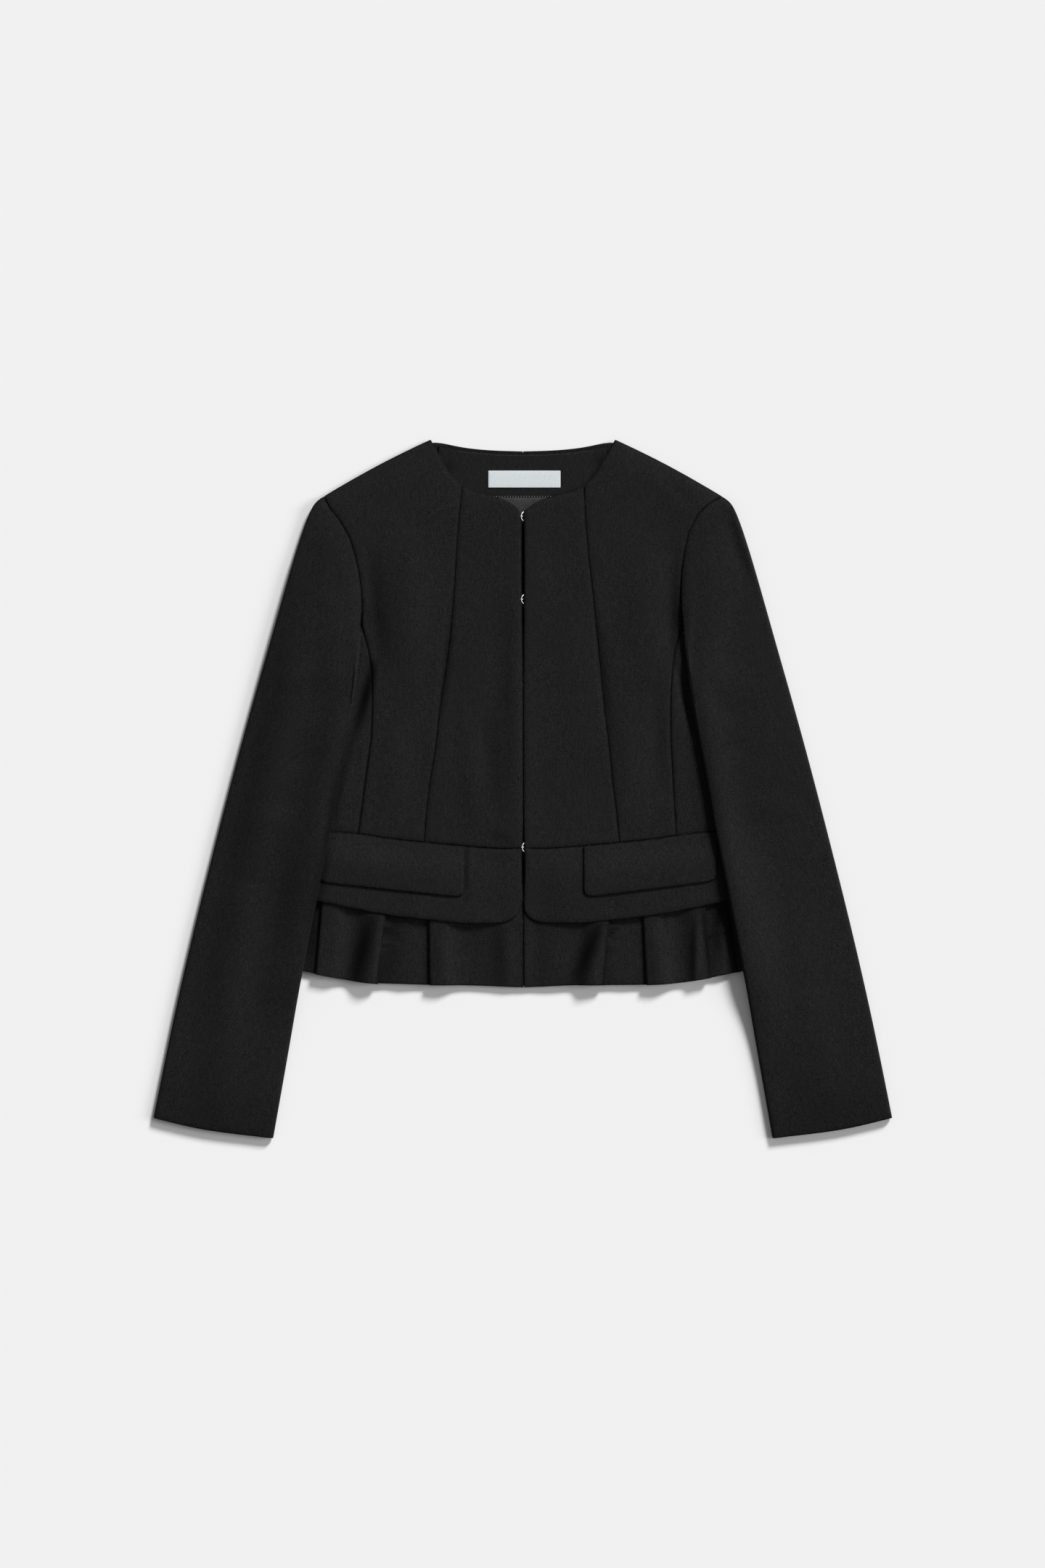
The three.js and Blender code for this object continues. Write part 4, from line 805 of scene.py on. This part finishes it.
FLOOR_SIZE = 8
AMBIENT = 0.2
LAMPS = (
    # name, where it stands, width of the light in degrees, strength
    ("window_light", (0.85, 1.35, 0.85), 14, 4.1),
    ("side_light", (1.6, 0.1, 0.8), 24, 1.45),
)


def add_stage():
    deselect()
    bpy.ops.mesh.primitive_plane_add(size=FLOOR_SIZE, location=(0, 0, 0))
    floor = bpy.context.active_object
    floor.name = "floor"
    material, shader = new_material("plain_floor")
    shader.inputs["Base Color"].default_value = (0.86, 0.86, 0.86, 1)
    shader.inputs["Roughness"].default_value = 0.9
    shader.inputs["Specular IOR Level"].default_value = 0.1
    floor.data.materials.append(material)
    world = bpy.data.worlds.new("studio")
    world.use_nodes = True
    world.node_tree.nodes["Background"].inputs["Color"].default_value = (1, 1, 1, 1)
    world.node_tree.nodes["Background"].inputs["Strength"].default_value = AMBIENT
    bpy.context.scene.world = world
    for name, place, softness, power in LAMPS:
        light = bpy.data.lights.new(name, "SUN")
        light.angle = math.radians(softness)
        light.energy = power
        lamp = bpy.data.objects.new(name, light)
        bpy.context.collection.objects.link(lamp)
        lamp.location = place
        lamp.rotation_euler = Vector(place).to_track_quat("Z", "Y").to_euler()
    bpy.context.scene.view_settings.view_transform = "Standard"


def add_camera():
    data = bpy.data.cameras.new("photo_camera")
    data.sensor_fit = "VERTICAL"
    data.sensor_height = 24
    data.lens = data.sensor_height * CAMERA_HEIGHT / PHOTO_HEIGHT
    camera = bpy.data.objects.new("photo_camera", data)
    bpy.context.collection.objects.link(camera)
    camera.location = (CAMERA_X, CAMERA_Y, CAMERA_HEIGHT)
    bpy.context.scene.camera = camera


SLEEVE_LEAN = math.radians(17)
WOOLS = {
    "body": wool("wool_twill"),
    "sleeve_left": wool("wool_twill_left_sleeve", -SLEEVE_LEAN),
    "sleeve_right": wool("wool_twill_right_sleeve", SLEEVE_LEAN),
}
add_stage()
add_camera()
for side, sign in SIDES:
    add_body(side, sign, WOOLS)
    add_sleeve(side, sign, WOOLS)
    add_peplum(side, sign, WOOLS)
add_peplum_back(WOOLS)
add_neck(WOOLS, satin_lining(), label_satin())
add_sewing()
add_hooks(silver_wire())
